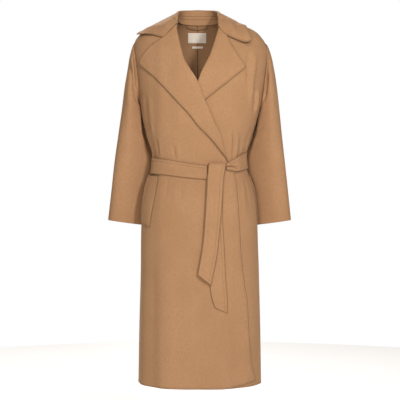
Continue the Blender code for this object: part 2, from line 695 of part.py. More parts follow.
def belt_knot():
    """The loop of belt round the band: a flattened tube, open at the wearer's right and left."""
    rings, inner_rings = [], []
    half_height, middle_z = (KNOT_TOP - KNOT_BOTTOM) / 2, (KNOT_TOP + KNOT_BOTTOM) / 2
    half_depth, middle_depth = (KNOT_FRONT - KNOT_BACK) / 2, (KNOT_FRONT + KNOT_BACK) / 2
    for i in range(KNOT_STEPS + 1):
        x = KNOT_LEFT_X + (KNOT_RIGHT_X - KNOT_LEFT_X) * i / KNOT_STEPS
        ring, inner_ring = [], []
        for k in range(KNOT_SIDES):
            turn = 2 * math.pi * k / KNOT_SIDES
            high = math.copysign(abs(math.cos(turn)) ** KNOT_CORNER_POWER, math.cos(turn))
            deep = math.copysign(abs(math.sin(turn)) ** KNOT_CORNER_POWER, math.sin(turn))
            for target, shrink in ((ring, 0.0), (inner_ring, WALL)):
                z = middle_z + high * (half_height - shrink)
                depth = middle_depth + deep * (half_depth - shrink)
                target.append(front_point(x + (z - KNOT_TOP) * KNOT_SLANT, z, depth))
        rings.append(ring)
        inner_rings.append(inner_ring)
    return cloth_solid("belt_knot", rings, inner_rings, closed=True)


def belt_tail(name, table):
    rows = []
    for left_x, left_z, right_x, right_z, lift in table:
        row = []
        for j in range(TAIL_STEPS + 1):
            share = j / TAIL_STEPS
            x, z = left_x + (right_x - left_x) * share, left_z + (right_z - left_z) * share
            row.append(front_point(x, z, lift))
        rows.append(row)
    return body_wall(name, rows)


# ================================================================== pockets, loop and labels
def pocket_welt(name, side, table):
    """A slanted welt from its seam at the front to its opening edge at the side."""
    rows = []
    for seam_x, seam_z, opening_y, opening_z in table:
        start = angle_at_x(seam_z, seam_x)
        end = angle_at_y(opening_z, opening_y, side)
        row = []
        for j in range(WELT_STEPS + 1):
            share = j / WELT_STEPS
            z, angle = seam_z + (opening_z - seam_z) * share, start + (end - start) * share
            lift = LAYER + (wrap_lift(torso_point(z, angle).x, z) if side < 0 else 0.0)
            row.append(torso_point(z, angle, lift))
        rows.append(row)
    return body_wall(name, rows)


def inside_back(x, z):
    """Point just off the inner face of the back."""
    return torso_point(z, angle_at_x(z, x, behind=True), -(WALL + TRIM_GAP))


def hanger_loop():
    rows = []
    for half in (-0.5, 0.5):
        row = []
        for i in range(HANGER_LOOP_STEPS + 1):
            share = i / HANGER_LOOP_STEPS
            x = HANGER_LOOP_X[0] + (HANGER_LOOP_X[1] - HANGER_LOOP_X[0]) * share
            sag = HANGER_LOOP_SAG * 4 * share * (1 - share)
            row.append(inside_back(x, HANGER_LOOP_Z - sag + half * HANGER_LOOP_WIDTH))
        rows.append(row)
    return body_wall("hanger_loop", rows, wall=LOOP_WALL)


def label(name, left_x, right_x, bottom_z, top_z):
    rows = [[inside_back(left_x + (right_x - left_x) * j / LABEL_STEPS, z) for j in range(LABEL_STEPS + 1)]
            for z in (bottom_z, (bottom_z + top_z) / 2, top_z)]
    return body_wall(name, rows, wall=TRIM_WALL, colour=CREAM, roughness=LABEL_ROUGHNESS)


# ================================================================== the whole coat
def build():
    for old in list(bpy.data.objects):
        bpy.data.objects.remove(old, do_unlink=True)

    back_panel("back_right", -1)
    back_panel("back_left", 1)
    front_panel("front_right", -1, FRONT_RIGHT_EDGE, FRONT_RIGHT_COLUMNS, wrap_lift)
    front_panel("front_left", 1, FRONT_LEFT_EDGE, FRONT_LEFT_COLUMNS, lambda x, z: 0.0)
    lapel("lapel_right", LAPEL_RIGHT_ROLL, LAPEL_RIGHT_TOP, LAPEL_RIGHT_EDGE, wrap_lift)
    lapel("lapel_left", LAPEL_LEFT_ROLL, LAPEL_LEFT_TOP, LAPEL_LEFT_EDGE, lambda x, z: 0.0)
    sleeve("sleeve_right", -1)
    sleeve("sleeve_left", 1)
    collar_stand()
    collar_fall()
    belt_band()
    belt_knot()
    belt_tail("belt_tail_front", TAIL_FRONT)
    belt_tail("belt_tail_back", TAIL_BACK)
    pocket_welt("pocket_welt_right", -1, WELT_RIGHT)
    pocket_welt("pocket_welt_left", 1, WELT_LEFT)
    hanger_loop()
    for node, left_x, right_x, bottom_z, top_z in LABELS:
        label(node, left_x, right_x, bottom_z, top_z)


build()
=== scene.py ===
"""Wool wrap coat: its cloth, folds, seams, colours and light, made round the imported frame.

Units are metres, +Z is up and the coat faces -Y. Every piece of cloth is a thin shell on the form of
the solid that it replaces: a middle surface worked out from the coat's own tables, folds laid on it as
soft troughs and ridges, and then a wall of cloth with rounded edges.
"""
import math
import random

import bpy
import numpy as np
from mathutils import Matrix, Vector
from mathutils.kdtree import KDTree


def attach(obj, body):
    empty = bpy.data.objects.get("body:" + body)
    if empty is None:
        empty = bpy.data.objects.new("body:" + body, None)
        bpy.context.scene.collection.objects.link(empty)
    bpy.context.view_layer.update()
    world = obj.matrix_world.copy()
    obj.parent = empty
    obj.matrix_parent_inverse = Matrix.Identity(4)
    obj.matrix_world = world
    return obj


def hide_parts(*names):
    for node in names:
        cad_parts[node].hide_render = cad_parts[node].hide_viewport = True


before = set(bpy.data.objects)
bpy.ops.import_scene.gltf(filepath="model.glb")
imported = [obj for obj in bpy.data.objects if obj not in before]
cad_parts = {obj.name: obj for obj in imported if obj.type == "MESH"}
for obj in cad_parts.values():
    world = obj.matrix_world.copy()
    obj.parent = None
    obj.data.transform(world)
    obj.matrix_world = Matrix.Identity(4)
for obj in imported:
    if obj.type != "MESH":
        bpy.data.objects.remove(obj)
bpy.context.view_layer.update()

# ---- camera
CAMERA_PLACE = (0.002, -3.3, -0.600)
CAMERA_LENS = 90.0

# ---- cloth
WALL = 0.002                # thickness of the double-faced wool
LAYER = 0.0036              # from the face of one layer to the face of the layer that lies on it
SEAM_GAP = 0.0003
SEWN_INSET = 0.8            # of the half thickness: sewn edges meet in a shallow groove
FINISHED_INSET = 1.15       # of it again: how far a finished edge is drawn back from its line
PUFF = 0.0006               # a face of the cloth stands this much further out along a finished edge
RIM_STEPS = 3               # points round the edge of a wall
INSET_REACH = 0.006         # how far in from an edge the cloth is drawn back to leave room for its rim
EDGE_LINE = 0.0045          # the fine seam line inside every finished edge
FAR = 0.02                  # distance given where a piece has no seam line
LINE_STEPS = 8              # points from one row to the next of a lapel's edge,
EDGE_STEPS = 6              # of a front's edge
FOLD_STEPS = 5              # and of a fold

# ---- the coat round the body
OUTLINE_POWER = 2.3
SEAM_Y = 0.010
LEFT_SEAM_SHIFT = 0.040
LEFT_SEAM_SHIFT_Z = -0.48   # the left side seam has all of its shift from this height down
CENTRE_BACK_X = -0.006
CLEAR_ROUNDS = 8            # steps that take a piece off the coat
CLEAR_LEAST_GAIN = 0.35     # least share of such a step that counts as a step away from the coat
CLEAR_FRONT_Y = (0.03, -0.01)       # between these depths the steps turn forwards
# Columns: z, half width, depth in front, depth behind
SECTIONS = np.array((
    (-1.197, 0.2013, 0.150, 0.153),
    (-1.128, 0.2003, 0.149, 0.153),
    (-1.000, 0.1980, 0.147, 0.151),
    (-0.834, 0.1939, 0.143, 0.151),
    (-0.686, 0.1914, 0.138, 0.150),
    (-0.617, 0.1878, 0.134, 0.145),
    (-0.567, 0.1800, 0.128, 0.134),
    (-0.534, 0.1690, 0.121, 0.122),
    (-0.505, 0.1570, 0.116, 0.113),
    (-0.458, 0.1530, 0.112, 0.107),
    (-0.435, 0.1565, 0.114, 0.109),
    (-0.395, 0.1700, 0.121, 0.116),
    (-0.339, 0.1868, 0.130, 0.125),
    (-0.263, 0.2035, 0.138, 0.130),
    (-0.181, 0.2190, 0.137, 0.130),
    (-0.1215, 0.2240, 0.124, 0.125),
    (-0.093, 0.2180, 0.114, 0.119),
    (-0.076, 0.2115, 0.109, 0.115),
    (-0.0535, 0.1934, 0.096, 0.107),
    (-0.040, 0.1735, 0.088, 0.101),
    (-0.030, 0.1480, 0.080, 0.096),
    (-0.020, 0.1220, 0.070, 0.091),
    (-0.010, 0.0960, 0.055, 0.085),
    (0.000, 0.0700, 0.030, 0.080),
    (0.030, 0.0540, 0.028, 0.082),
    (0.060, 0.0520, 0.027, 0.084),
))
# Columns: z, how far the chest hangs towards the left sleeve
SWAY = np.array((
    (-0.395, 0.0000),
    (-0.339, 0.0012),
    (-0.263, 0.0050),
    (-0.181, 0.0070),
    (-0.1215, 0.0060),
    (-0.093, 0.0020),
    (-0.070, 0.0000),
))

# ---- panels
HEM_Z = -1.197
NECK_Z = -0.001
BACK_NECK_DROP = 0.008
BACK_NECK_DROP_Z = -0.061   # the rows of the back start to dip at this height
SKIRT_TOP_Z = -0.600
SKIRT_ROWS = 112
WAIST_ROWS = 62
ARMHOLE_ROWS = 60
SHOULDER_ROWS = 34
FRONT_COLUMNS = 104
BACK_COLUMNS = 52
ARMHOLE_TOP = -0.077
ARMHOLE_BOTTOM = -0.285
ARMHOLE_HALF_DEPTH = 0.060

# Seen from the front, (x, z): the edge of each front from the neck down its roll line to the hem
FRONT_RIGHT_EDGE = (
    (-0.0705, 0.000), (-0.0715, -0.020), (-0.0715, -0.040), (-0.0708, -0.057), (-0.0500, -0.147),
    (-0.0275, -0.188), (-0.0063, -0.222), (0.0148, -0.278), (0.0348, -0.320), (0.0517, -0.362),
    (0.0661, -0.390), (0.0915, -0.482), (0.1086, -0.510), (0.1170, -0.549), (0.1261, -0.664),
    (0.1308, -0.759), (0.1425, -0.868), (0.1513, -0.919), (0.1552, -0.999), (0.1612, -1.073),
    (0.1640, -1.118), (0.1682, -1.146), (0.1745, -1.171), (0.1800, HEM_Z),
)
FRONT_LEFT_EDGE = (
    (0.0705, 0.000), (0.0690, -0.020), (0.0640, -0.040), (0.0592, -0.057), (0.0349, -0.136),
    (0.0063, -0.194), (-0.0035, -0.220), (-0.0297, -0.284), (-0.0504, -0.339), (-0.0800, -0.420),
    (-0.0941, -0.488), (-0.1050, -0.800), (-0.1088, HEM_Z),
)
CORNER_RISE = 0.015
CORNER_REACH = 0.30
CORNER_HEIGHT = 0.10

# ---- lapels, seen from the front, (x, z)
LAPEL_RIGHT_TOP = (
    (-0.0722, -0.0350), (-0.0930, -0.0585), (-0.1164, -0.0806), (-0.1518, -0.1035),
    (-0.1779, -0.1311), (-0.1905, -0.1510),
)
LAPEL_RIGHT_EDGE = (
    (-0.1905, -0.1510), (-0.1879, -0.1657), (-0.1767, -0.1764), (-0.1355, -0.2138), (-0.0925, -0.2607),
    (-0.0614, -0.2949), (-0.0332, -0.3259), (-0.0048, -0.3623), (0.0407, -0.4099), (0.0776, -0.4598),
    (0.0888, -0.4770),
)
LAPEL_LEFT_TOP = (
    (0.0615, -0.0465), (0.0705, -0.0585), (0.0834, -0.0728), (0.1061, -0.1137), (0.1286, -0.1480),
    (0.1489, -0.1730),
)
LAPEL_LEFT_EDGE = (
    (0.1489, -0.1730), (0.1430, -0.1805), (0.1056, -0.2123), (0.0629, -0.2472), (0.0205, -0.2812),
    (-0.0420, -0.3330),
)
LAPEL_RIGHT_ENDS_Z = (-0.035, -0.478)       # top and foot of its roll line
LAPEL_LEFT_ENDS_Z = (-0.0465, -0.330)
LAPEL_COLUMNS = 44
LAPEL_NOTCH_SHARE = 0.36    # of its top edge, sewn to the collar up to the notch
LAPEL_TIP_RADIUS = 0.009
LAPEL_EDGE_LIFT = 0.0012    # the lapel's edge stands this much further off
LAPEL_EDGE_REACH = 0.014
LAPEL_EDGE_ACROSS = (0.3, 0.7)      # shares of its width over which that starts
ROLL_STEPS = 6              # rows of the turn at a roll line
ROLL_BULGE = 0.0022         # the lapel stands this much further off just past its roll line
ROLL_BULGE_REACH = 0.016
LEFT_BULGE_FADE_Z = (-0.205, -0.160)

# Where the upper wrap rises over the under wrap, and again over the foot of the left lapel
WRAP_LIFT_X = (-0.150, -0.118)
CROSSING_LIFT_X = (-0.100, -0.060)
CROSSING_LIFT_Z = (-0.400, -0.350)
NECK_FADE_Z = (-0.060, -0.120)
CROSSING_FADE_Z = (-0.120, -0.200)

# ---- sleeves
# Columns: x of the outer edge on the left and right sleeve, z of that edge, x of the inner edge on the
# left and right sleeve, z of that edge, y of the middle, how far the inner edge lies behind it and
# the outer edge in front of it, half depth
SLEEVE_RINGS = (
    (0.2257, 0.2205, -0.093, 0.2010, 0.1965, -0.290, 0.012, 0.008, 0.0710),
    (0.2380, 0.2300, -0.130, 0.1990, 0.1940, -0.297, 0.015, 0.014, 0.0765),
    (0.2475, 0.2380, -0.180, 0.1960, 0.1895, -0.309, 0.019, 0.021, 0.0790),
    (0.2565, 0.2475, -0.240, 0.1885, 0.1825, -0.337, 0.024, 0.027, 0.0770),
    (0.2640, 0.2560, -0.305, 0.1760, 0.1720, -0.378, 0.032, 0.031, 0.0730),
    (0.2735, 0.2690, -0.390, 0.1560, 0.1560, -0.420, 0.044, 0.034, 0.0660),
    (0.2840, 0.2820, -0.475, 0.1420, 0.1410, -0.481, 0.055, 0.034, 0.0600),
    (0.2950, 0.2930, -0.565, 0.1640, 0.1640, -0.577, 0.065, 0.030, 0.0580),
    (0.3060, 0.3050, -0.667, 0.1760, 0.1760, -0.6855, 0.069, 0.028, 0.0580),
)
SLEEVE_FLATNESS = 0.28      # how much flatter the front of a sleeve is than an ellipse, towards the body
SLEEVE_FLAT_TURNS = ((0.30, 0.70), (1.10, 0.85))    # where that comes and goes, in half turns
SLEEVE_GAP = 0.0085         # least gap from a sleeve to the coat below the armhole
SLEEVE_GAP_RINGS = (3.2, 5.2)       # rings between which the gap grows
SLEEVE_GAP_BEHIND = 0.3     # share of it that is left behind the side seam
SLEEVE_GAP_FRONT_Y = (0.050, 0.010)
SLEEVE_BELT_GAP = 0.0045    # more of it beside the belt
SLEEVE_BELT_Z = -0.475
SLEEVE_BELT_REACH = (0.170, 0.040)  # heights off the belt between which that grows
SLEEVE_SEAM_SHARE = 0.03    # of its length: next to the armhole it follows the coat's own surface
SLEEVE_FACING = 0.35        # sine of the angle from which a fold seen from the front has its full height
SLEEVE_COLUMNS = 104
SLEEVE_STEPS = 14           # rows from one ring to the next

# ---- collar
# Columns: fold x, fold y, fold z, edge x, edge y, edge z, from the right leaf round the neck to the left
COLLAR_STATIONS = (
    (-0.0725, -0.064, -0.020, -0.197, -0.022, -0.050),
    (-0.0715, -0.022, 0.011, -0.176, 0.026, -0.038),
    (-0.0690, 0.020, 0.026, -0.140, 0.074, -0.043),
    (-0.0560, 0.066, 0.037, -0.088, 0.099, -0.045),
    (-0.0300, 0.090, 0.042, -0.044, 0.112, -0.045),
    (-0.0040, 0.096, 0.044, -0.004, 0.115, -0.045),
    (0.0240, 0.090, 0.042, 0.038, 0.112, -0.045),
    (0.0480, 0.066, 0.037, 0.082, 0.100, -0.045),
    (0.0610, 0.020, 0.026, 0.132, 0.074, -0.042),
    (0.0625, -0.022, 0.011, 0.1440, 0.012, -0.026),
    (0.0615, -0.062, -0.022, 0.1535, -0.062, -0.0460),
)
COLLAR_FRACTIONS = (0.0, 0.16, 0.33, 0.58, 0.80, 1.0)
LEAF_RIGHT_FRONT = (
    (-0.0722, -0.0860, -0.0330), (-0.0930, -0.0980, -0.0560), (-0.1164, -0.1020, -0.0776),
    (-0.1500, -0.0860, -0.0680), (-0.1790, -0.0700, -0.0632), (-0.2035, -0.0580, -0.0625),
)
LEAF_LEFT_FRONT = (
    (0.0615, -0.0910, -0.0440), (0.0705, -0.1000, -0.0560), (0.0834, -0.1060, -0.0703),
    (0.1160, -0.1060, -0.0860), (0.1500, -0.0950, -0.0970), (0.1672, -0.0880, -0.0880),
)
COLLAR_BULGE = 0.006
COLLAR_NOTCH_SHARE = 0.38   # of the collar's ends, sewn to the lapels up to the notch
COLLAR_END_REACH = 0.035    # the turn at the fold is tighter this near to the collar's ends
COLLAR_END_RADIUS = 0.4     # share of its radius that is left there
COLLAR_TURN_SHARE = 0.25    # of the fall, over which it leaves the turn
COLLAR_CLEARANCE = 0.0034   # of its middle surface from the coat's form
LEAF_CLEARANCE = 0.0014     # more of it where the leaves lie beside the lapels
LEAF_Y = (-0.02, -0.05)     # depths between which that grows
LEAF_EDGE_LIFT = 0.0090     # and more at the leaves' free edges, in front
LEAF_EDGE_SHARES = (0.45, 1.0)      # shares of the fall over which that grows, from the fold down
LEAF_EDGE_Y = (-0.045, -0.090)      # and depths
COLLAR_FOLDS_Y = (0.05, 0.02)       # the leaves' folds start between these depths
COLLAR_STEPS = 12           # rows from one station to the next
COLLAR_FALL_STEPS = 7       # columns from one fraction to the next
COLLAR_FOLD_RADIUS = 0.0034
COLLAR_FOLD_STEPS = 6
STAND_STEPS = 14            # columns up the stand
STAND_LINE_STEPS = (9, 6)   # those of its two seam lines
STAND_FOOT_GAP = 0.0012
STAND_FOOT_DROP = 0.0025
STAND_LEAN = 0.0012
GORGE_Z = -0.034
NECK_STEPS = 12

# ---- belt
# Columns: angle from the front in degrees, z of its middle, width
BELT_COURSE = np.array((
    (29.0, -0.4950, 0.0230),
    (34.0, -0.4935, 0.0330),
    (42.0, -0.4895, 0.0430),
    (52.0, -0.4830, 0.0515),
    (70.0, -0.4737, 0.0555),
    (90.0, -0.4700, 0.0550),
    (135.0, -0.4560, 0.0540),
    (180.0, -0.4470, 0.0535),
    (225.0, -0.4580, 0.0540),
    (270.0, -0.4840, 0.0555),
    (320.0, -0.4955, 0.0525),
    (340.0, -0.5030, 0.0500),
    (367.0, -0.5140, 0.0470),
))
BELT_COLUMNS = 430
BELT_ROWS = 30
BELT_LIFT = 0.0037
BELT_CLOTH = {"thickness": 0.0024, "line": 0.0090, "puff": 0.0002}
BELT_CROWN = 0.0010
BELT_WAVE = (0.0006, 7.0, 5.0)      # height, turns round the body and across the belt
BELT_WRAP_ANGLES = ((276.0, 296.0), (50.0, 62.0))
KNOT_TOP = -0.4845
KNOT_BOTTOM = -0.5350
KNOT_LEFT_X = 0.0310
KNOT_RIGHT_X = 0.0785
KNOT_SLANT = 0.14
KNOT_BACK = 0.0060
KNOT_FRONT = 0.0165
KNOT_CORNER_POWER = 0.6
KNOT_TAPER = 0.06
KNOT_COLUMNS = 48
KNOT_ROWS = 25
# Columns: left edge's x and z, right edge's x and z, face's lift over the coat
TAIL_FRONT = (
    (0.0270, -0.4950, 0.0780, -0.4950, 0.0192),
    (0.0234, -0.5420, 0.0722, -0.5420, 0.0195),
    (0.0215, -0.5850, 0.0700, -0.5850, 0.0195),
    (0.0170, -0.6600, 0.0652, -0.6600, 0.0180),
    (0.0115, -0.7300, 0.0590, -0.7300, 0.0155),
    (0.0044, -0.7800, 0.0525, -0.7850, 0.0150),
    (-0.0063, -0.8365, 0.0356, -0.8696, 0.0150),
)
TAIL_BACK = (
    (0.0300, -0.5390, 0.0745, -0.5390, 0.0072),
    (0.0285, -0.6000, 0.0735, -0.6000, 0.0072),
    (0.0280, -0.6630, 0.0728, -0.6630, 0.0072),
    (0.0310, -0.7300, 0.0765, -0.7300, 0.0072),
    (0.0325, -0.7900, 0.0795, -0.7900, 0.0072),
    (0.0335, -0.8500, 0.0820, -0.8500, 0.0072),
    (0.0347, -0.8940, 0.0865, -0.9000, 0.0072),
    (0.0470, -0.9405, 0.0888, -0.9603, 0.0072),
)
TAIL_ROW_STEPS = 16
TAIL_COLUMNS = 26
TAIL_CROWN = 0.0004
TAIL_TURN_STEPS = 8
TAIL_TURN_RADIUS = 0.0062   # of the turn over the belt's top edge

# ---- pockets, loop and labels
# Columns: x and z of the seam at the front, y and z of the opening edge at the side
WELT_RIGHT = (
    (-0.1292, -0.5250, -0.0270, -0.5180),
    (-0.1349, -0.5571, -0.0300, -0.5470),
    (-0.1428, -0.5978, -0.0330, -0.5860),
    (-0.1512, -0.6407, -0.0340, -0.6280),
    (-0.1584, -0.6866, -0.0340, -0.6730),
)
WELT_LEFT = (
    (0.1575, -0.5180, 0.0400, -0.5070),
    (0.1705, -0.5500, 0.0410, -0.5390),
    (0.1805, -0.5900, 0.0420, -0.5780),
    (0.1858, -0.6350, 0.0430, -0.6220),
    (0.1888, -0.6800, 0.0440, -0.6660),
)
WELT_ROW_STEPS = 12
WELT_COLUMNS = 22
WELT_RIGHT_LIFT = 0.0042    # of its face off the coat
WELT_RIGHT_DROP = 0.0012    # less of it along the seam at the front
WELT_LEFT_LIFT = 0.0016
WELT_SEAM_SHARE = 0.12      # of its width, over which it rises from that seam
TRIM_GAP = 0.0009
TRIM_WALL = 0.0010
TRIM_SLACK = 0.0004
LABEL_COLUMNS = 40
LABEL_ROWS = 24
LABEL_LINE = 0.0018
LOOP_WALL = 0.0016
LOOP_COLUMNS = 40
LOOP_ROWS = 6
LOOP_STANDS_OFF = 0.0010
HANGER_LOOP_X = (-0.045, 0.029)
HANGER_LOOP_Z = -0.0130
HANGER_LOOP_SAG = 0.007
HANGER_LOOP_WIDTH = 0.005
# Columns: node, left x, right x, bottom z, top z
LABELS = (
    ("label_neck", -0.0390, 0.0232, -0.0650, -0.0322),
    ("label_size", -0.0245, 0.0118, -0.0830, -0.0755),
)


# ======== curves and tables
def ramp(value, start, end):
    """0 at start, 1 at end, with a smooth step between them."""
    t = np.clip((np.asarray(value, float) - start) / (end - start), 0.0, 1.0)
    return t * t * (3.0 - 2.0 * t)


def arch(share):
    """0 at 0 and at 1, and 1 half-way between them."""
    return 4 * share * (1 - share)


def signed_power(value, power):
    return np.copysign(np.abs(value) ** power, value)


def full_turn(count):
    """Angles of so many places round a circle."""
    return 2 * np.pi * np.arange(count) / count


def table_value(table, key, column):
    """Reads a column of a table whose first column rises, on a smooth curve through the rows."""
    xs, ys = table[:, 0], table[:, column]
    rows = np.arange(len(xs))
    before, after = np.maximum(rows - 1, 0), np.minimum(rows + 1, len(xs) - 1)
    slopes = (ys[after] - ys[before]) / (xs[after] - xs[before])
    key = np.clip(key, xs[0], xs[-1])
    low = np.clip(np.searchsorted(xs, key, "right") - 1, 0, len(xs) - 2)
    step = xs[low + 1] - xs[low]
    t = (key - xs[low]) / step
    return ((2 * t ** 3 - 3 * t ** 2 + 1) * ys[low] + (t ** 3 - 2 * t ** 2 + t) * step * slopes[low]
            + (3 * t ** 2 - 2 * t ** 3) * ys[low + 1] + (t ** 3 - t ** 2) * step * slopes[low + 1])


def smooth_through(points, steps):
    """The points, along the first axis, with others between them on a smooth curve through them all."""
    points = np.asarray(points, float)
    last = len(points) - 1
    line = []
    for i in range(last):
        before, start = points[max(i - 1, 0)], points[i]
        end, after = points[i + 1], points[min(i + 2, last)]
        for k in range(steps):
            t = k / steps
            line.append(0.5 * (2 * start + (end - before) * t
                               + (2 * before - 5 * start + 4 * end - after) * t ** 2
                               + (3 * start - before - 3 * end + after) * t ** 3))
    return np.array(line + [points[last]])


def lengths_along(points):
    steps = np.linalg.norm(np.diff(points, axis=0), axis=1)
    return np.concatenate(([0.0], np.cumsum(steps)))


def points_along(points, fractions):
    """Points at fractions of a polyline's length."""
    points = np.asarray(points, float)
    lengths = lengths_along(points)
    places = np.asarray(fractions) * lengths[-1]
    return np.stack([np.interp(places, lengths, points[:, k]) for k in range(points.shape[1])], -1)


def edge_x(edge, z):
    """X of a front's edge at heights, from a smooth curve through a table of (x, z)."""
    line = smooth_through(edge, EDGE_STEPS)[::-1]
    return np.interp(z, line[:, 1], line[:, 0])


def edge_spaced(count):
    """count + 1 numbers from 0 to 1, closer together near 1 than near 0."""
    t = np.linspace(0.0, 1.0, count + 1)
    return t + 0.5 * t * (1 - t)


def unit(vectors):
    return vectors / np.maximum(np.linalg.norm(vectors, axis=-1, keepdims=True), 1e-12)


UP = np.array((0, 0, 1))


def from_axis(points):
    """Direction out from the coat's upright axis."""
    return unit(points * np.array((1.0, 1.0, 0.0)))


# ======== the coat's outer form
def fullness(points):
    """1 on the coat's outer form, less inside it and more outside."""
    y, z = points[..., 1], points[..., 2]
    x = points[..., 0] - table_value(SWAY, z, 1)
    half_width, front, back = (table_value(SECTIONS, z, column) for column in (1, 2, 3))
    depth = np.where(y < 0, front, back)
    return (np.abs(x) / half_width) ** OUTLINE_POWER + (np.abs(y) / depth) ** OUTLINE_POWER


def gradient(points, step=0.0005):
    axes = np.eye(3) * step
    return np.stack([(fullness(points + a) - fullness(points - a)) / (2 * step) for a in axes], -1)


def outward(points):
    return unit(gradient(points))


def inward(points):
    return -outward(points)


def degrees_round(points):
    """Degrees round the body from the front, towards the left sleeve."""
    return np.degrees(np.arctan2(points[..., 0], -points[..., 1]))


def angle_at_x(z, x, behind=False):
    """Angle round the body, from the front, where the section at z has this x."""
    x = x - table_value(SWAY, z, 1)
    share = np.minimum(np.abs(x) / table_value(SECTIONS, z, 1), 1.0) ** (OUTLINE_POWER / 2)
    angle = np.arcsin(share)
    return np.copysign(np.pi - angle if behind else angle, x)


def angle_at_y(z, y, side):
    """The same for a y, on the side of the sign given."""
    depth = np.where(y < 0, table_value(SECTIONS, z, 2), table_value(SECTIONS, z, 3))
    angle = np.arccos(np.minimum(np.abs(y) / depth, 1.0) ** (OUTLINE_POWER / 2))
    return side * np.where(y < 0, angle, np.pi - angle)


def form_point(z, angle):
    """Point on the coat's outer form at a height and an angle."""
    half_width, front, back = (table_value(SECTIONS, z, column) for column in (1, 2, 3))
    sine, cosine = (signed_power(part, 2 / OUTLINE_POWER) for part in (np.sin(angle), np.cos(angle)))
    x = half_width * sine + table_value(SWAY, z, 1)
    y = -np.where(cosine > 0, front, back) * cosine
    return np.stack([x, y, np.broadcast_to(z, x.shape)], -1)


def lifted(points, lift):
    return points + outward(points) * np.asarray(lift)[..., None]


def front_form(x, z):
    """Point on the front half of the outer form, seen from the front at x and z."""
    return form_point(z, angle_at_x(z, x))


def kept_clear(points, clearance, forwards=2.5):
    """The points, moved off the coat where they are nearer to its form than the clearance.

    At the front they move mostly forwards, so that an outline seen from the front keeps its place.
    """
    forwards = np.array((0.0, -forwards, 0.0)) * ramp(points[..., 1], *CLEAR_FRONT_Y)[..., None]
    for _ in range(CLEAR_ROUNDS):
        slope = gradient(points)
        size = np.linalg.norm(slope, axis=-1)
        normal = slope / size[..., None]
        way = unit(normal + forwards)
        short = np.maximum(clearance - (fullness(points) - 1.0) / size, 0.0)
        gain = np.maximum((way * normal).sum(-1), CLEAR_LEAST_GAIN)
        points = points + way * (short / gain)[..., None]
    return points


# ======== folds
# Folds seen from the front: width, height of the ridge (a trough is less than 0), points (x, z)
FRONT_FOLDS = (
    (0.0040, -0.0022, ((-0.137, -0.400), (-0.134, -0.430), (-0.131, -0.462))),
    (0.0060, 0.0012, ((-0.128, -0.390), (-0.125, -0.430), (-0.121, -0.464))),
    (0.0045, -0.0018, ((-0.083, -0.425), (-0.079, -0.450), (-0.075, -0.474))),
    (0.0060, 0.0010, ((-0.072, -0.415), (-0.068, -0.445), (-0.064, -0.474))),
    (0.0055, -0.0010, ((-0.014, -0.440), (-0.012, -0.462), (-0.009, -0.482))),
    (0.0034, -0.0042, ((0.1095, -0.375), (0.1095, -0.430), (0.1098, -0.480))),
    (0.0070, 0.0026, ((0.1190, -0.370), (0.1190, -0.430), (0.1170, -0.480))),
    (0.0070, 0.0014, ((0.0990, -0.390), (0.0995, -0.432), (0.1000, -0.475))),
    (0.0045, -0.0016, ((0.1350, -0.395), (0.1330, -0.425), (0.1310, -0.450))),
    (0.0080, 0.0036, ((0.1720, -0.095), (0.1690, -0.210), (0.1620, -0.315))),
    (0.0060, -0.0036, ((0.1790, -0.235), (0.1800, -0.280), (0.1760, -0.325))),
    (0.0055, 0.0034, ((0.1900, -0.240), (0.1870, -0.280), (0.1820, -0.320))),
    (0.0060, -0.0022, ((0.1560, -0.110), (0.1550, -0.170), (0.1530, -0.260))),
    (0.0070, -0.0014, ((-0.176, -0.240), (-0.172, -0.320), (-0.158, -0.400))),
    (0.0080, 0.0014, ((-0.162, -0.250), (-0.156, -0.330), (-0.146, -0.410))),
    (0.0045, -0.0016, ((0.1450, -0.520), (0.1540, -0.570), (0.1600, -0.630))),
    (0.0060, 0.0014, ((0.1370, -0.530), (0.1440, -0.590), (0.1480, -0.660))),
    (0.0050, -0.0014, ((-0.098, -0.520), (-0.101, -0.555), (-0.106, -0.600))),
    (0.0050, -0.0010, ((-0.055, -0.532), (-0.056, -0.565), (-0.058, -0.600))),
    (0.0060, 0.0008, ((-0.075, -0.528), (-0.077, -0.565), (-0.080, -0.610))),
    (0.0240, -0.0022, ((0.004, -0.700), (0.000, -0.880), (-0.004, -1.060), (-0.006, -1.215))),
    (0.0260, 0.0022, ((-0.090, -0.680), (-0.096, -0.860), (-0.102, -1.040), (-0.106, -1.215))),
    (0.0200, -0.0018, ((-0.148, -0.760), (-0.152, -0.930), (-0.155, -1.215))),
    (0.0220, 0.0020, ((0.070, -0.900), (0.078, -1.050), (0.084, -1.215))),
    (0.0200, -0.0016, ((0.118, -0.960), (0.124, -1.090), (0.128, -1.215))),
)
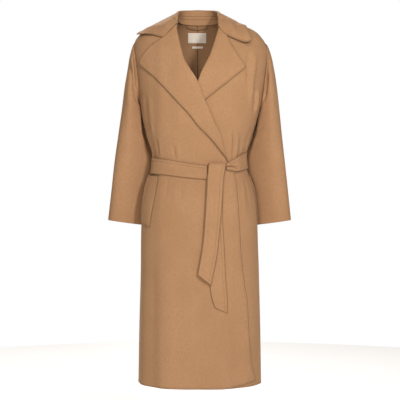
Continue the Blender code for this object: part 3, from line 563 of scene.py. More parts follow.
# Folds on the sides and back: width, height, points (degrees round from the front, z)
ROUND_FOLDS = (
    (0.0260, 0.0034, ((128, -0.640), (127, -0.820), (126, -1.020), (125, -1.215))),
    (0.0240, -0.0030, ((148, -0.620), (148, -0.800), (149, -1.000), (150, -1.215))),
    (0.0300, 0.0036, ((168, -0.600), (167, -0.780), (166, -0.980), (165, -1.215))),
    (0.0260, -0.0026, ((190, -0.660), (190, -0.830), (191, -1.020), (192, -1.215))),
    (0.0280, 0.0036, ((212, -0.600), (213, -0.790), (214, -1.000), (215, -1.215))),
    (0.0230, -0.0030, ((233, -0.680), (234, -0.850), (236, -1.030), (237, -1.215))),
    (0.0250, 0.0026, ((254, -0.700), (255, -0.880), (256, -1.060), (257, -1.215))),
    (0.0220, -0.0020, ((104, -0.760), (103, -0.940), (102, -1.215))),
    (0.0200, 0.0018, ((82, -0.700), (81, -0.900), (80, -1.215))),
    (0.0200, -0.0016, ((278, -0.740), (279, -0.950), (280, -1.215))),
    (0.0120, 0.0030, ((132, -0.170), (136, -0.260), (139, -0.350), (141, -0.415))),
    (0.0100, -0.0028, ((124, -0.185), (128, -0.270), (131, -0.345), (133, -0.400))),
    (0.0120, 0.0030, ((228, -0.165), (224, -0.250), (221, -0.330), (219, -0.410))),
    (0.0100, -0.0028, ((236, -0.190), (233, -0.265), (230, -0.340), (227, -0.405))),
    (0.0160, -0.0018, ((158, -0.110), (160, -0.190), (163, -0.280))),
    (0.0160, -0.0018, ((203, -0.115), (200, -0.200), (197, -0.270))),
    (0.0140, 0.0016, ((180, -0.240), (178, -0.320), (176, -0.400))),
    (0.0110, 0.0022, ((96, -0.300), (97, -0.360), (99, -0.430))),
    (0.0110, 0.0022, ((264, -0.300), (263, -0.365), (261, -0.440))),
)
# Gathers that the belt draws in where the front view doesn't reach: degrees round from the front
GATHER_SPAN = (72, 288)
GATHER_COUNT = 27
GATHER_SHIFT = 0.35         # most that a gather is moved, as a share of the way to the next
GATHER_START = 0.020        # how far from the middle of the belt they start
GATHER_LENGTHS = (0.045, 0.120)
GATHER_HEIGHTS = (0.0010, 0.0026)
GATHER_WIDTHS = (0.0045, 0.0085)
GATHER_LEAN = 3.0           # degrees round from one end to the other
FOLD_RADIUS = 0.165         # turns an angle round the body into a length on the cloth
FOLD_DEPTH = 1.5            # scales the height of every fold of the body
FOLD_FADE = 0.28            # share of a fold's length over which each end fades


def belt_gathers():
    """Short uneven folds above and below the belt, at the sides and back."""
    draw = random.Random(11)
    folds = []
    start, end = GATHER_SPAN
    for k in range(GATHER_COUNT):
        place = k + draw.uniform(-GATHER_SHIFT, GATHER_SHIFT)
        degrees = start + (end - start) * place / (GATHER_COUNT - 1)
        middle = table_value(BELT_COURSE, degrees, 1)
        sign = 1 if k % 2 else -1
        for way in (1, -1):
            edge = middle + way * GATHER_START
            length = draw.uniform(*GATHER_LENGTHS)
            height = sign * draw.uniform(*GATHER_HEIGHTS)
            lean = draw.uniform(-GATHER_LEAN, GATHER_LEAN)
            points = [(degrees + lean * t, edge + way * length * t) for t in (0.0, 0.5, 1.0)]
            folds.append((draw.uniform(*GATHER_WIDTHS), height, points))
    return folds


def fold_height(places, line, width, fades):
    """Height of a fold on the cloth: a soft ridge along a line, which fades towards its ends."""
    line = smooth_through(line, FOLD_STEPS)
    starts, steps = line[:-1], np.diff(line, axis=0)
    sizes = np.linalg.norm(steps, axis=1)
    before = np.concatenate(([0.0], np.cumsum(sizes)))[:-1]
    near = np.all((places > line.min(0) - 3 * width) & (places < line.max(0) + 3 * width), axis=-1)
    height = np.zeros(places.shape[:-1])
    if not near.any():
        return height
    offsets = places[near][:, None, :] - starts[None]
    t = np.clip((offsets * steps).sum(-1) / sizes ** 2, 0.0, 1.0)
    distance = np.linalg.norm(offsets - t[..., None] * steps, axis=-1)
    nearest = distance.argmin(1)
    rows = np.arange(len(nearest))
    along = (before[nearest] + t[rows, nearest] * sizes[nearest]) / sizes.sum()
    fade = 1.0
    if fades[0]:
        fade = fade * ramp(along, 0.0, FOLD_FADE)
    if fades[1]:
        fade = fade * ramp(along, 1.0, 1.0 - FOLD_FADE)
    height[near] = fade * np.exp(-(distance[rows, nearest] / width) ** 2)
    return height


def relief_of(folds, places, laid_out=np.array):
    """Height at places of folds whose lines laid_out() puts on the same flat as the places."""
    total = np.zeros(places.shape[:-1])
    for width, height, line in folds:
        total += height * fold_height(places, laid_out(line), width, (True, True))
    return total


def front_relief(folds, x, z):
    return relief_of(folds, np.stack([x, z], -1))


def unrolled(degrees, along, radius=FOLD_RADIUS):
    """Places on a surface rolled out flat: how far round it and how far along it."""
    return np.stack([np.radians(degrees) * radius, np.asarray(along, float)], -1)


def body_folds():
    """All folds of the body as (line on the unrolled cloth, width, height, which ends fade)."""
    folds = []
    for table, from_front, starts_fade in ((FRONT_FOLDS, True, True), (ROUND_FOLDS, False, True),
                                           (belt_gathers(), False, False)):
        for width, height, line in table:
            across, z = np.array(line, float).T
            degrees = degrees_round(front_form(across, z)) if from_front else across
            folds.append((unrolled(degrees, z), width, height, (starts_fade, z[-1] > HEM_Z)))
    return folds


BODY_FOLDS = body_folds()


def body_relief(points):
    """Height of the body's folds at points near its form."""
    degrees = degrees_round(points)
    total = np.zeros(points.shape[:-1])
    for line, width, height, fades in BODY_FOLDS:
        middle = np.degrees(line[:, 0].mean() / FOLD_RADIUS)
        turned = middle + (degrees - middle + 180.0) % 360.0 - 180.0
        total += FOLD_DEPTH * height * fold_height(unrolled(turned, points[..., 2]), line, width, fades)
    return total


# ======== walls of cloth
# Edges of a grid of points
FIRST_ROW, LAST_ROW = np.s_[0], np.s_[-1]
FIRST_COLUMN, LAST_COLUMN = np.s_[:, 0], np.s_[:, -1]


def on_edges(points, *edges):
    """Which points of a grid lie on some of its edges."""
    marks = np.zeros(points.shape[:2], bool)
    for edge in edges:
        marks[edge] = True
    return marks


class Cloth:
    """The middle surface of a piece: points, four-sided faces, and which points lie on finished edges."""

    def __init__(self):
        self.points = np.zeros((0, 3))
        self.finished = np.zeros(0, bool)
        self.faces = np.zeros((0, 4), int)

    def add_points(self, points, finished):
        first = len(self.points)
        self.points = np.concatenate([self.points, points.reshape(-1, 3)])
        self.finished = np.concatenate([self.finished, finished.reshape(-1)])
        return np.arange(first, len(self.points)).reshape(points.shape[:-1])

    def add_grid(self, points, finished, first_column=None, round_way=False):
        """Adds a grid of points. Its first column may be points that are there already."""
        if first_column is None:
            index = self.add_points(points, finished)
        else:
            index = self.add_points(points[:, 1:], finished[:, 1:])
            index = np.concatenate([first_column[:, None], index], axis=1)
        after = np.roll(index, -1, axis=1) if round_way else index[:, 1:]
        before = index if round_way else index[:, :-1]
        faces = np.stack([before[:-1], after[:-1], after[1:], before[1:]], -1).reshape(-1, 4)
        self.faces = np.concatenate([self.faces, faces])
        return index


def point_normals(points, faces):
    across = np.cross(points[faces[:, 2]] - points[faces[:, 0]], points[faces[:, 3]] - points[faces[:, 1]])
    normals = np.zeros_like(points)
    for corner in range(4):
        np.add.at(normals, faces[:, corner], across)
    return unit(normals)


def border(faces):
    """Edges with one face, in that face's direction."""
    edges = np.concatenate([faces[:, [k, (k + 1) % 4]] for k in range(4)])
    key = np.sort(edges, axis=1)
    _, where, count = np.unique(key, axis=0, return_inverse=True, return_counts=True)
    return edges[count[where.reshape(-1)] == 1]


def nearest_of(points, targets):
    """Index and distance of the nearest target to each point."""
    tree = KDTree(len(targets))
    for i, target in enumerate(targets):
        tree.insert(target, i)
    tree.balance()
    found = [tree.find(point) for point in points]
    return np.array([f[1] for f in found]), np.array([f[2] for f in found])


def line_distance(points, starts, ends, at_once=4000):
    """Distance of each point to the nearest of many straight pieces."""
    best = np.full(len(points), np.inf)
    steps = ends - starts
    for first in range(0, len(points), at_once):
        block = points[first:first + at_once, None, :]
        t = ((block - starts) * steps).sum(-1) / np.maximum((steps ** 2).sum(-1), 1e-18)
        t = np.clip(t, 0.0, 1.0)
        gap = np.linalg.norm(block - starts - t[..., None] * steps, axis=-1)
        best[first:first + at_once] = gap.min(1)
    return best


def wall_piece(name, cloth, outside, thickness=WALL, line=EDGE_LINE, puff=PUFF, seam_line=None,
               lined=None):
    """A wall of cloth with rounded edges round a middle surface.

    outside(points) points out of its face. Its finished edges have a seam line this far in, or only the
    lined ones of them. seam_line gives the distance to more lines.
    """
    points, faces = cloth.points.copy(), cloth.faces
    normals = point_normals(points, faces)
    if (normals * outside(points)).sum() < 0:
        faces = faces[:, ::-1]
        normals = -normals
    rim = border(faces)
    incoming = np.zeros_like(points)
    steps = unit(points[rim[:, 1]] - points[rim[:, 0]])
    np.add.at(incoming, rim[:, 0], steps)
    np.add.at(incoming, rim[:, 1], steps)
    on_rim = np.unique(rim)
    away = unit(np.cross(unit(incoming), normals))

    half = np.full(len(points), thickness / 2)
    nearest, gap = nearest_of(points, points[on_rim])
    share = np.clip(1.0 - gap / INSET_REACH, 0.0, 1.0) ** 2
    edge_of = on_rim[nearest]
    inset = thickness / 2 * np.where(cloth.finished[edge_of], FINISHED_INSET, SEWN_INSET)
    points = points - away[edge_of] * (share * inset)[:, None]

    edge_gap, line_gap = np.full(len(points), FAR), np.full(len(points), FAR)
    finished_rim = rim[cloth.finished[rim].all(axis=1)]
    lined_rim = finished_rim if lined is None else rim[lined[rim].all(axis=1)]
    sewn_rim = rim[~cloth.finished[rim].all(axis=1)]
    seam = np.full(len(points), FAR) if seam_line is None else seam_line
    if len(sewn_rim):
        close = gap < FAR
        sewn_gap = line_distance(points[close], *points[sewn_rim.T])
        seam[close] = np.where(np.abs(seam[close]) < sewn_gap, seam[close], sewn_gap)
    if line and len(finished_rim):
        close = gap < FAR
        edge_gap[close] = line_distance(points[close], *points[finished_rim.T])
        line_gap[close] = line_distance(points[close], *points[lined_rim.T])
        half = half + puff * ramp(edge_gap, line, line * 0.6)

    count = len(points)
    rings = [points + normals * half[:, None]]
    rim_index = np.full(count, -1)
    rim_index[on_rim] = np.arange(len(on_rim))
    for k in range(1, RIM_STEPS + 1):
        turn = math.pi * k / (RIM_STEPS + 1)
        reach = half[on_rim, None]
        rings.append(points[on_rim] + normals[on_rim] * reach * math.cos(turn)
                     + away[on_rim] * reach * math.sin(turn))
    rings.append(points - normals * half[:, None])
    vertices = np.concatenate(rings)
    inner = count + RIM_STEPS * len(on_rim)
    all_faces = [faces, faces[:, ::-1] + inner]

    def ring_index(k, index):
        if k == 0:
            return index
        if k == RIM_STEPS + 1:
            return inner + index
        return count + (k - 1) * len(on_rim) + rim_index[index]

    for k in range(RIM_STEPS + 1):
        a, b = rim[:, 0], rim[:, 1]
        all_faces.append(np.stack([ring_index(k, b), ring_index(k, a),
                                   ring_index(k + 1, a), ring_index(k + 1, b)], -1))

    def spread(values):
        return np.concatenate([values] + [values[on_rim]] * RIM_STEPS + [values])

    # edge_gap is the distance to a finished edge; the wool material darkens the cloth close to it as
    # painted shade.
    return make_object(name, vertices, np.concatenate(all_faces), {
        "edge_gap": spread(edge_gap), "edge_line": spread(line_gap - (line or 0.0)),
        "seam_line": spread(seam)})


def grid_piece(name, points, finished_edges, outside, round_way=False, **wall):
    """A wall of cloth on one grid of points."""
    cloth = Cloth()
    cloth.add_grid(points, on_edges(points, *finished_edges), round_way=round_way)
    return wall_piece(name, cloth, outside, **wall)


def placed(name, data):
    made = bpy.data.objects.new(name, data)
    bpy.context.scene.collection.objects.link(made)
    return made


def make_object(name, vertices, faces, attributes):
    mesh = bpy.data.meshes.new(name)
    mesh.from_pydata(vertices.tolist(), [], faces.tolist())
    mesh.update()
    for key, values in attributes.items():
        layer = mesh.attributes.new(key, "FLOAT", "POINT")
        layer.data.foreach_set("value", np.asarray(values, np.float32))
    mesh.shade_smooth()
    return placed(name, mesh)


# ======== back and fronts
def panel_heights(extra=()):
    """Heights of the panels' rows, with extra ones put in exactly."""
    middle = (ARMHOLE_TOP + ARMHOLE_BOTTOM) / 2
    half = (ARMHOLE_TOP - ARMHOLE_BOTTOM) / 2
    parts = [np.linspace(HEM_Z, SKIRT_TOP_Z, SKIRT_ROWS + 1)[:-1],
             np.linspace(SKIRT_TOP_Z, ARMHOLE_BOTTOM, WAIST_ROWS + 1)[:-1],
             middle - half * np.cos(np.pi * np.arange(ARMHOLE_ROWS) / ARMHOLE_ROWS),
             np.linspace(ARMHOLE_TOP, NECK_Z, SHOULDER_ROWS + 1)]
    heights = np.concatenate(parts)
    for z in extra:
        heights[np.abs(heights - z).argmin()] = z
    return heights


def side_y(z, side, towards):
    """Y of a panel's side edge: side seam, armhole or shoulder seam. towards is -1 for a front."""
    shift = LEFT_SEAM_SHIFT * ramp(z, ARMHOLE_BOTTOM, LEFT_SEAM_SHIFT_Z) if side > 0 else 0.0
    middle = (ARMHOLE_TOP + ARMHOLE_BOTTOM) / 2
    share = (z - middle) / (ARMHOLE_TOP - middle)
    opening = ARMHOLE_HALF_DEPTH * np.sqrt(np.maximum(1 - share ** 2, 0.0))
    return SEAM_Y + shift * (z < ARMHOLE_BOTTOM) + towards * opening


def back_panel(name, side):
    heights = panel_heights()
    start = angle_at_y(heights, side_y(heights, side, 1), side) % (2 * np.pi)
    end = angle_at_x(heights, np.full_like(heights, CENTRE_BACK_X), behind=True) % (2 * np.pi)
    share = np.linspace(0.0, 1.0, BACK_COLUMNS + 1)
    angle = start[:, None] + (end - start)[:, None] * share
    neck = np.clip((heights - BACK_NECK_DROP_Z) / (NECK_Z - BACK_NECK_DROP_Z), 0.0, 1.0)[:, None]
    z = heights[:, None] - BACK_NECK_DROP * neck * np.maximum(-np.cos(angle), 0.0)
    base = form_point(z, angle)
    return grid_piece(name, lifted(base, body_relief(base) - WALL / 2), [FIRST_ROW], from_axis, line=None)


def wrap_lift(x, z):
    """Lift of the upper wrap: over the under wrap, and again over the foot of the left lapel."""
    over_front = ramp(x, *WRAP_LIFT_X) * ramp(z, *NECK_FADE_Z)
    over_lapel = ramp(x, *CROSSING_LIFT_X) * ramp(z, *CROSSING_LIFT_Z) * ramp(z, *CROSSING_FADE_Z)
    return LAYER * (over_front + over_lapel)


def no_lift(x, z):
    return np.zeros(np.broadcast(x, z).shape)


def round_corner(across, down, width, height, radius):
    """Moves places near the corner across = 1, down = 0 of a patch on to a rounded corner."""
    a = np.clip((radius - (1.0 - across) * width) / radius, 0.0, 1.0)
    b = np.clip((radius - down * height) / radius, 0.0, 1.0)
    a_round, b_round = a * np.sqrt(1 - b ** 2 / 2), b * np.sqrt(1 - a ** 2 / 2)
    inside = (a > 0) & (b > 0)
    return (np.where(inside, 1.0 - (1.0 - a_round) * radius / width, across),
            np.where(inside, (1.0 - b_round) * radius / height, down))


def roll_turn(base, middle, side):
    """Rows of the turn at a roll line on the form, from the front round to the lapel that lies on it."""
    out = outward(base)
    beyond = unit(np.cross(unit(np.gradient(base, axis=0)), out))
    beyond *= np.sign((beyond[:, 0] * -side).sum())
    turns = np.pi * np.arange(ROLL_STEPS + 1) / ROLL_STEPS
    radius = LAYER / 2
    return (base[:, None] + out[:, None] * (middle[:, None] - radius * np.cos(turns))[..., None]
            + beyond[:, None] * (radius * np.sin(turns))[None, :, None])


def lapel_flat(roll_line, top, edge):
    """A lapel's places seen from the front, (x, z): rows from its foot up, columns from its roll line.

    With each place go its share of the way across and how far it is from the roll line and the free edges.
    """
    lengths = lengths_along(roll_line)
    down = (lengths / lengths[-1])[::-1][:, None]
    across, down = np.broadcast_arrays(edge_spaced(LAPEL_COLUMNS)[None], down)
    top, edge = smooth_through(top, LINE_STEPS), smooth_through(edge, LINE_STEPS)
    width, height = lengths_along(top)[-1], lengths_along(edge)[-1]
    across, down = round_corner(across, down, width, height, LAPEL_TIP_RADIUS)
    roll_at, edge_at, top_at = (points_along(roll_line, down), points_along(edge, down),
                                points_along(top, across))
    straight = top[0] + (top[-1] - top[0]) * across[..., None]
    flat = roll_at + (edge_at - roll_at) * across[..., None]
    flat = flat + (top_at - straight) * (1 - down[..., None])
    from_edge = np.minimum(np.linalg.norm(edge_at - flat, axis=-1), np.abs(top_at[..., 1] - flat[..., 1]))
    return flat, across, np.linalg.norm(flat - roll_at, axis=-1), from_edge


def facing_out(counting):
    """Points out of the coat where the points count. Those that are turned over don't."""
    return lambda points: outward(points) * counting.reshape(-1, 1)


def front_with_lapel(name, side, edge, ends_z, lapel_top, lapel_edge, lift, bulge):
    """A front and its turned-back lapel as one length of cloth, folded over at the roll line."""
    top_z, break_z = ends_z
    heights = panel_heights(ends_z)
    inset = np.where((heights <= top_z) & (heights >= break_z), LAYER / 2 + WALL / 2, 0.0)
    start = angle_at_y(heights, side_y(heights, side, -1), side)
    end = angle_at_x(heights, edge_x(edge, heights) + side * inset)
    share = edge_spaced(FRONT_COLUMNS)
    angle = start[:, None] + (end - start)[:, None] * share
    z = np.broadcast_to(heights[:, None], angle.shape)
    if side < 0:
        near_hem = ramp(z, HEM_Z + CORNER_HEIGHT, HEM_Z)
        z = z + CORNER_RISE * ramp(share, 1 - CORNER_REACH, 1.0)[None] * near_hem
    base = form_point(z, angle)
    relief = body_relief(base)
    points = lifted(base, lift(base[..., 0], z) + relief - WALL / 2)
    rows = np.nonzero((heights <= top_z + 1e-9) & (heights >= break_z - 1e-9))[0]
    finished = on_edges(points, FIRST_ROW)
    finished[:rows[0] + 1, -1] = True
    cloth = Cloth()
    panel = cloth.add_grid(points, finished)

    roll_base, roll_z = base[rows, -1], heights[rows]
    middle = lift(roll_base[:, 0], roll_z) + relief[rows, -1] + (LAYER - WALL) / 2
    turn = roll_turn(roll_base, middle, side)
    fold = cloth.add_grid(turn, on_edges(turn), first_column=panel[rows, -1])

    roll_line = np.stack([roll_base[:, 0], roll_z], -1)[::-1]
    flat, across, from_roll, from_edge = lapel_flat(roll_line, lapel_top, lapel_edge)
    x, z = flat[..., 0], flat[..., 1]
    stand = bulge(z) * (from_roll / ROLL_BULGE_REACH) * np.exp(1 - from_roll / ROLL_BULGE_REACH)
    near_edge = ramp(from_edge, LAPEL_EDGE_REACH, 0.0) * ramp(across, *LAPEL_EDGE_ACROSS)
    stand = stand + LAPEL_EDGE_LIFT * near_edge
    base = front_form(x, z)
    lapel = lifted(base, lift(x, z) + body_relief(base) + LAYER - WALL / 2 + stand)
    finished = on_edges(lapel, LAST_COLUMN)
    finished[-1, across[-1] > LAPEL_NOTCH_SHARE] = True
    cloth.add_grid(lapel, finished, first_column=fold[:, -1])
    return wall_piece(name, cloth, facing_out(np.arange(len(cloth.points)) < points[..., 0].size))


# ======== sleeves
# Folds below the armholes seen from the front: width, height, points (x, z)
SLEEVE_RIGHT_FOLDS = (
    (0.0052, -0.0125, ((-0.2120, -0.118), (-0.2070, -0.160), (-0.2035, -0.205), (-0.2010, -0.245))),
    (0.0070, 0.0034, ((-0.2230, -0.118), (-0.2170, -0.155), (-0.2110, -0.200), (-0.2040, -0.250))),
    (0.0056, -0.0095, ((-0.2300, -0.140), (-0.2240, -0.172), (-0.2195, -0.205), (-0.2120, -0.237),
                       (-0.2030, -0.272), (-0.1970, -0.300))),
    (0.0120, 0.0022, ((-0.2360, -0.195), (-0.2290, -0.240), (-0.2200, -0.285), (-0.2100, -0.325))),
)
SLEEVE_LEFT_FOLDS = (
    (0.0054, -0.0130, ((0.2300, -0.125), (0.2240, -0.165), (0.2190, -0.205), (0.2140, -0.245),
                       (0.2070, -0.290))),
    (0.0110, 0.0018, ((0.2420, -0.165), (0.2370, -0.205), (0.2320, -0.250), (0.2240, -0.300))),
)
# Folds of the sleeves: width, height, points (degrees round the sleeve, share of the way to the cuff).
# 0 degrees is the outer edge, 90 the front, 180 the inner edge and 270 the back
SLEEVE_BOTH_FOLDS = (
    (0.0120, -0.0018, ((96, 0.560), (124, 0.590), (152, 0.600))),
    (0.0100, 0.0016, ((84, 0.620), (116, 0.645), (146, 0.650))),
    (0.0110, -0.0014, ((100, 0.690), (130, 0.700), (156, 0.690))),
    (0.0140, 0.0016, ((60, 0.300), (66, 0.480), (64, 0.700), (62, 0.900))),
    (0.0150, -0.0014, ((100, 0.340), (104, 0.480), (106, 0.640), (104, 0.860))),
    (0.0100, -0.0030, ((214, 0.100), (236, 0.140), (262, 0.210), (284, 0.290))),
    (0.0110, 0.0028, ((206, 0.170), (230, 0.215), (254, 0.280), (272, 0.350))),
    (0.0100, -0.0026, ((206, 0.545), (230, 0.560), (254, 0.590), (276, 0.640))),
    (0.0110, 0.0024, ((212, 0.610), (236, 0.630), (262, 0.665))),
    (0.0100, -0.0022, ((208, 0.680), (232, 0.690), (258, 0.710))),
    (0.0150, 0.0020, ((292, 0.400), (290, 0.600), (288, 0.840))),
    (0.0140, -0.0018, ((256, 0.740), (260, 0.860), (262, 0.985))),
)
SLEEVE_FOLD_RADIUS = 0.065
SLEEVE_LENGTH = 0.60


def sleeve_rings(side):
    """The sleeve's rings at its columns' angles: the armhole on the coat's form, then the table's."""
    turns = full_turn(SLEEVE_COLUMNS)
    middle = (ARMHOLE_TOP + ARMHOLE_BOTTOM) / 2
    half = (ARMHOLE_TOP - ARMHOLE_BOTTOM) / 2 - SEAM_GAP
    z = middle + half * np.cos(turns)
    y = SEAM_Y - (ARMHOLE_HALF_DEPTH - SEAM_GAP) * np.sin(turns)
    rings = [form_point(z, angle_at_y(z, y, side))]
    comes, goes = (ramp(turns, start * np.pi, end * np.pi) for start, end in SLEEVE_FLAT_TURNS)
    power = 1.0 - SLEEVE_FLATNESS * (comes * goes)
    wide, deep = signed_power(np.cos(turns), power), signed_power(np.sin(turns), power)
    for row in SLEEVE_RINGS:
        outer_left, outer_right, outer_z, inner_left, inner_right, inner_z, middle_y, swing, depth = row
        outer_x, inner_x = (outer_left, inner_left) if side > 0 else (outer_right, inner_right)
        centre = np.array((side * (outer_x + inner_x) / 2, middle_y, (outer_z + inner_z) / 2))
        across = np.array((side * (outer_x - inner_x) / 2, -swing, (outer_z - inner_z) / 2))
        reach = np.array((0, -depth, 0))
        rings.append(centre + wide[:, None] * across + deep[:, None] * reach)
    return np.array(rings)


def kept_off_coat(points):
    """The sleeve's points, with those below its armhole kept a gap away from the coat and its belt."""
    ring = np.arange(len(points))[:, None] / SLEEVE_STEPS
    belt = ramp(np.abs(points[..., 2] - SLEEVE_BELT_Z), *SLEEVE_BELT_REACH)
    front = ramp(points[..., 1], *SLEEVE_GAP_FRONT_Y)
    gap = SLEEVE_GAP * (SLEEVE_GAP_BEHIND + (1 - SLEEVE_GAP_BEHIND) * front) + SLEEVE_BELT_GAP * belt
    moved = kept_clear(points, gap * ramp(ring, *SLEEVE_GAP_RINGS), 0.0)
    return np.where(ring[..., None] > SLEEVE_GAP_RINGS[0], moved, points)


def sleeve_unrolled(line):
    """Places on a sleeve, (degrees round it, share of the way to the cuff), rolled out flat."""
    degrees, share = np.moveaxis(np.asarray(line, float), -1, 0)
    return unrolled(degrees, share * SLEEVE_LENGTH, SLEEVE_FOLD_RADIUS)


def sleeve(name, side, own_folds):
    points = kept_off_coat(smooth_through(sleeve_rings(side), SLEEVE_STEPS))
    cloth = Cloth()
    cloth.add_grid(points, on_edges(points, LAST_ROW), round_way=True)
    normals = point_normals(cloth.points, cloth.faces)
    hub = np.repeat(points.mean(1), SLEEVE_COLUMNS, axis=0)
    if (normals * (cloth.points - hub)).sum() < 0:
        normals = -normals
    degrees = 360.0 * np.arange(SLEEVE_COLUMNS) / SLEEVE_COLUMNS
    degrees, share = np.broadcast_arrays(degrees, np.linspace(0.0, 1.0, len(points))[:, None])
    relief = relief_of(SLEEVE_BOTH_FOLDS, sleeve_unrolled(np.stack([degrees, share], -1)), sleeve_unrolled)
    facing = ramp(np.sin(np.radians(degrees)), 0.0, SLEEVE_FACING)
    relief += facing * front_relief(own_folds, points[..., 0], points[..., 2])
    off_seam = ramp(share, 0.0, SLEEVE_SEAM_SHARE)
    own = normals.reshape(points.shape) * (relief * off_seam - WALL / 2)[..., None]
    coats = outward(points) * (body_relief(points) - WALL / 2)[..., None]
    moves = own * off_seam[..., None] + coats * (1 - off_seam)[..., None]
    cloth.points = cloth.points + moves.reshape(-1, 3)
    return wall_piece(name, cloth, lambda p: p - hub, line=None)


# ======== collar
# Folds of the collar's leaves: width, height, points (x, z) seen from the front
COLLAR_FOLDS = (
    (0.0080, 0.0060, ((0.080, -0.004), (0.094, -0.022), (0.106, -0.048), (0.116, -0.078))),
    (0.0100, -0.0036, ((0.112, -0.014), (0.122, -0.032), (0.134, -0.062))),
    (0.0090, 0.0030, ((-0.086, -0.004), (-0.100, -0.024), (-0.112, -0.052))),
    (0.0110, -0.0020, ((-0.118, -0.018), (-0.132, -0.040), (-0.146, -0.058))),
)


def collar_columns():
    """The fall's points down its right front edge, at each station and down its left front edge."""
    columns = [np.array(LEAF_RIGHT_FRONT)]
    shares = np.array(COLLAR_FRACTIONS)[:, None]
    for fold_x, fold_y, fold_z, outer_x, outer_y, outer_z in COLLAR_STATIONS:
        fold, edge = np.array((fold_x, fold_y, fold_z)), np.array((outer_x, outer_y, outer_z))
        away = unit((edge - fold) * np.array((1, 1, 0)))
        rise = unit(away + UP) * COLLAR_BULGE
        columns.append(fold + (edge - fold) * shares + rise * arch(shares))
    columns.append(np.array(LEAF_LEFT_FRONT))
    return np.array(columns)


def neck_edge():
    """The neck edge of the panels, from the right roll line round the back to the left one."""
    heights = np.linspace(GORGE_Z, NECK_Z, NECK_STEPS + 1)
    right = front_form(edge_x(FRONT_RIGHT_EDGE, heights), heights)
    left = front_form(edge_x(FRONT_LEFT_EDGE, heights), heights)[::-1]
    start = float(angle_at_x(NECK_Z, right[-1, 0])) % (2 * math.pi)
    end = float(angle_at_x(NECK_Z, left[0, 0]))
    angle = np.linspace(start, end, 4 * NECK_STEPS + 1)[1:-1]
    back = form_point(NECK_Z - BACK_NECK_DROP * np.maximum(-np.cos(angle), 0.0), angle)
    return np.concatenate([right, back, left])


def collar_fall():
    """The fall's points, in rows from leaf to leaf round the neck and columns from the fold down."""
    columns = smooth_through(collar_columns(), COLLAR_STEPS)
    fall = np.swapaxes(smooth_through(np.swapaxes(columns, 0, 1), COLLAR_FALL_STEPS), 0, 1)
    down = np.linspace(0.0, 1.0, fall.shape[1])
    lift = LEAF_CLEARANCE * ramp(fall[..., 1], *LEAF_Y)
    lift = lift + LEAF_EDGE_LIFT * ramp(down, *LEAF_EDGE_SHARES) * ramp(fall[..., 1], *LEAF_EDGE_Y)
    fall = kept_clear(fall, COLLAR_CLEARANCE + lift)
    relief = front_relief(COLLAR_FOLDS, fall[..., 0], fall[..., 2])
    return fall + outward(fall) * (relief * ramp(fall[..., 1], *COLLAR_FOLDS_Y))[..., None]


def collar(name):
    """Stand and fall as one piece of cloth, turned over at the fold round the neck."""
    fall = collar_fall()
    folds = fall[:, 0].copy()
    out = from_axis(folds)
    length = lengths_along(folds)
    foot = points_along(neck_edge(), length / length[-1])
    foot = foot - from_axis(foot) * (WALL / 2 + STAND_FOOT_GAP) - UP * STAND_FOOT_DROP
    off_ends = ramp(np.minimum(length, length[-1] - length), 0.0, COLLAR_END_REACH)
    radius = COLLAR_FOLD_RADIUS * (COLLAR_END_RADIUS + (1 - COLLAR_END_RADIUS) * off_ends)
    top = folds - out * (radius - WALL / 2)[:, None] - UP * radius[:, None]
    rise = np.linspace(0.0, 1.0, STAND_STEPS + 1)[None, :, None]
    lean = np.sin(np.pi * rise) * out[:, None] * (STAND_LEAN * off_ends)[:, None, None]
    stand = foot[:, None] + (top - foot)[:, None] * rise + lean
    turns = np.pi * np.arange(1, COLLAR_FOLD_STEPS) / COLLAR_FOLD_STEPS
    centre = top + out * radius[:, None]
    turn = (centre[:, None] - out[:, None] * (radius[:, None] * np.cos(turns))[..., None]
            + UP * (radius[:, None] * np.sin(turns))[..., None])
    start = centre + out * radius[:, None]
    shares = np.linspace(0.0, 1.0, fall.shape[1])[None, :, None]
    blend = (1 - np.clip(shares / COLLAR_TURN_SHARE, 0.0, 1.0)) ** 2
    fall = fall + (start - fall[:, 0])[:, None] * blend

    grid = np.concatenate([stand, turn, fall], axis=1)
    finished = on_edges(grid, LAST_COLUMN)
    notch = grid.shape[1] - 1 - int((1 - COLLAR_NOTCH_SHARE) * (fall.shape[1] - 1))
    finished[[0, -1], notch:] = True
    cloth = Cloth()
    cloth.add_grid(grid, finished)
    seam = np.full(grid.shape[:2], FAR)
    along_stand = np.linalg.norm(stand - foot[:, None], axis=-1)
    gaps = [np.abs(along_stand - along_stand[:, row, None]) for row in STAND_LINE_STEPS]
    behind = stand[..., 1] > 0.0
    seam[:, :stand.shape[1]] = np.where(behind, np.minimum(*gaps), FAR)
    on_fall = np.arange(grid.shape[1]) >= stand.shape[1] + COLLAR_FOLD_STEPS
    outside = facing_out(np.broadcast_to(on_fall, grid.shape[:2]))
    return wall_piece(name, cloth, outside, seam_line=seam.ravel())


# ======== belt
# Folds of the belt where it runs into the knot: width, height, points (x, z) seen from the front
BELT_FOLDS = (
    (0.0020, -0.0040, ((0.080, -0.4960), (0.092, -0.4935), (0.106, -0.4935), (0.124, -0.4965))),
    (0.0030, 0.0030, ((0.080, -0.5000), (0.092, -0.4990), (0.104, -0.5005), (0.116, -0.5030))),
    (0.0020, -0.0035, ((0.078, -0.5040), (0.088, -0.5055), (0.100, -0.5075), (0.112, -0.5080))),
    (0.0022, -0.0018, ((0.082, -0.4870), (0.094, -0.4800), (0.108, -0.4720))),
    (0.0035, 0.0018, ((0.083, -0.4910), (0.096, -0.4860), (0.112, -0.4810), (0.130, -0.4780))),
    (0.0050, -0.0010, ((0.120, -0.4700), (0.132, -0.4760), (0.142, -0.4850))),
    (0.0040, -0.0012, ((0.030, -0.5000), (0.010, -0.4985), (-0.012, -0.4960))),
    (0.0045, 0.0012, ((0.030, -0.5200), (0.004, -0.5170), (-0.022, -0.5120))),
)
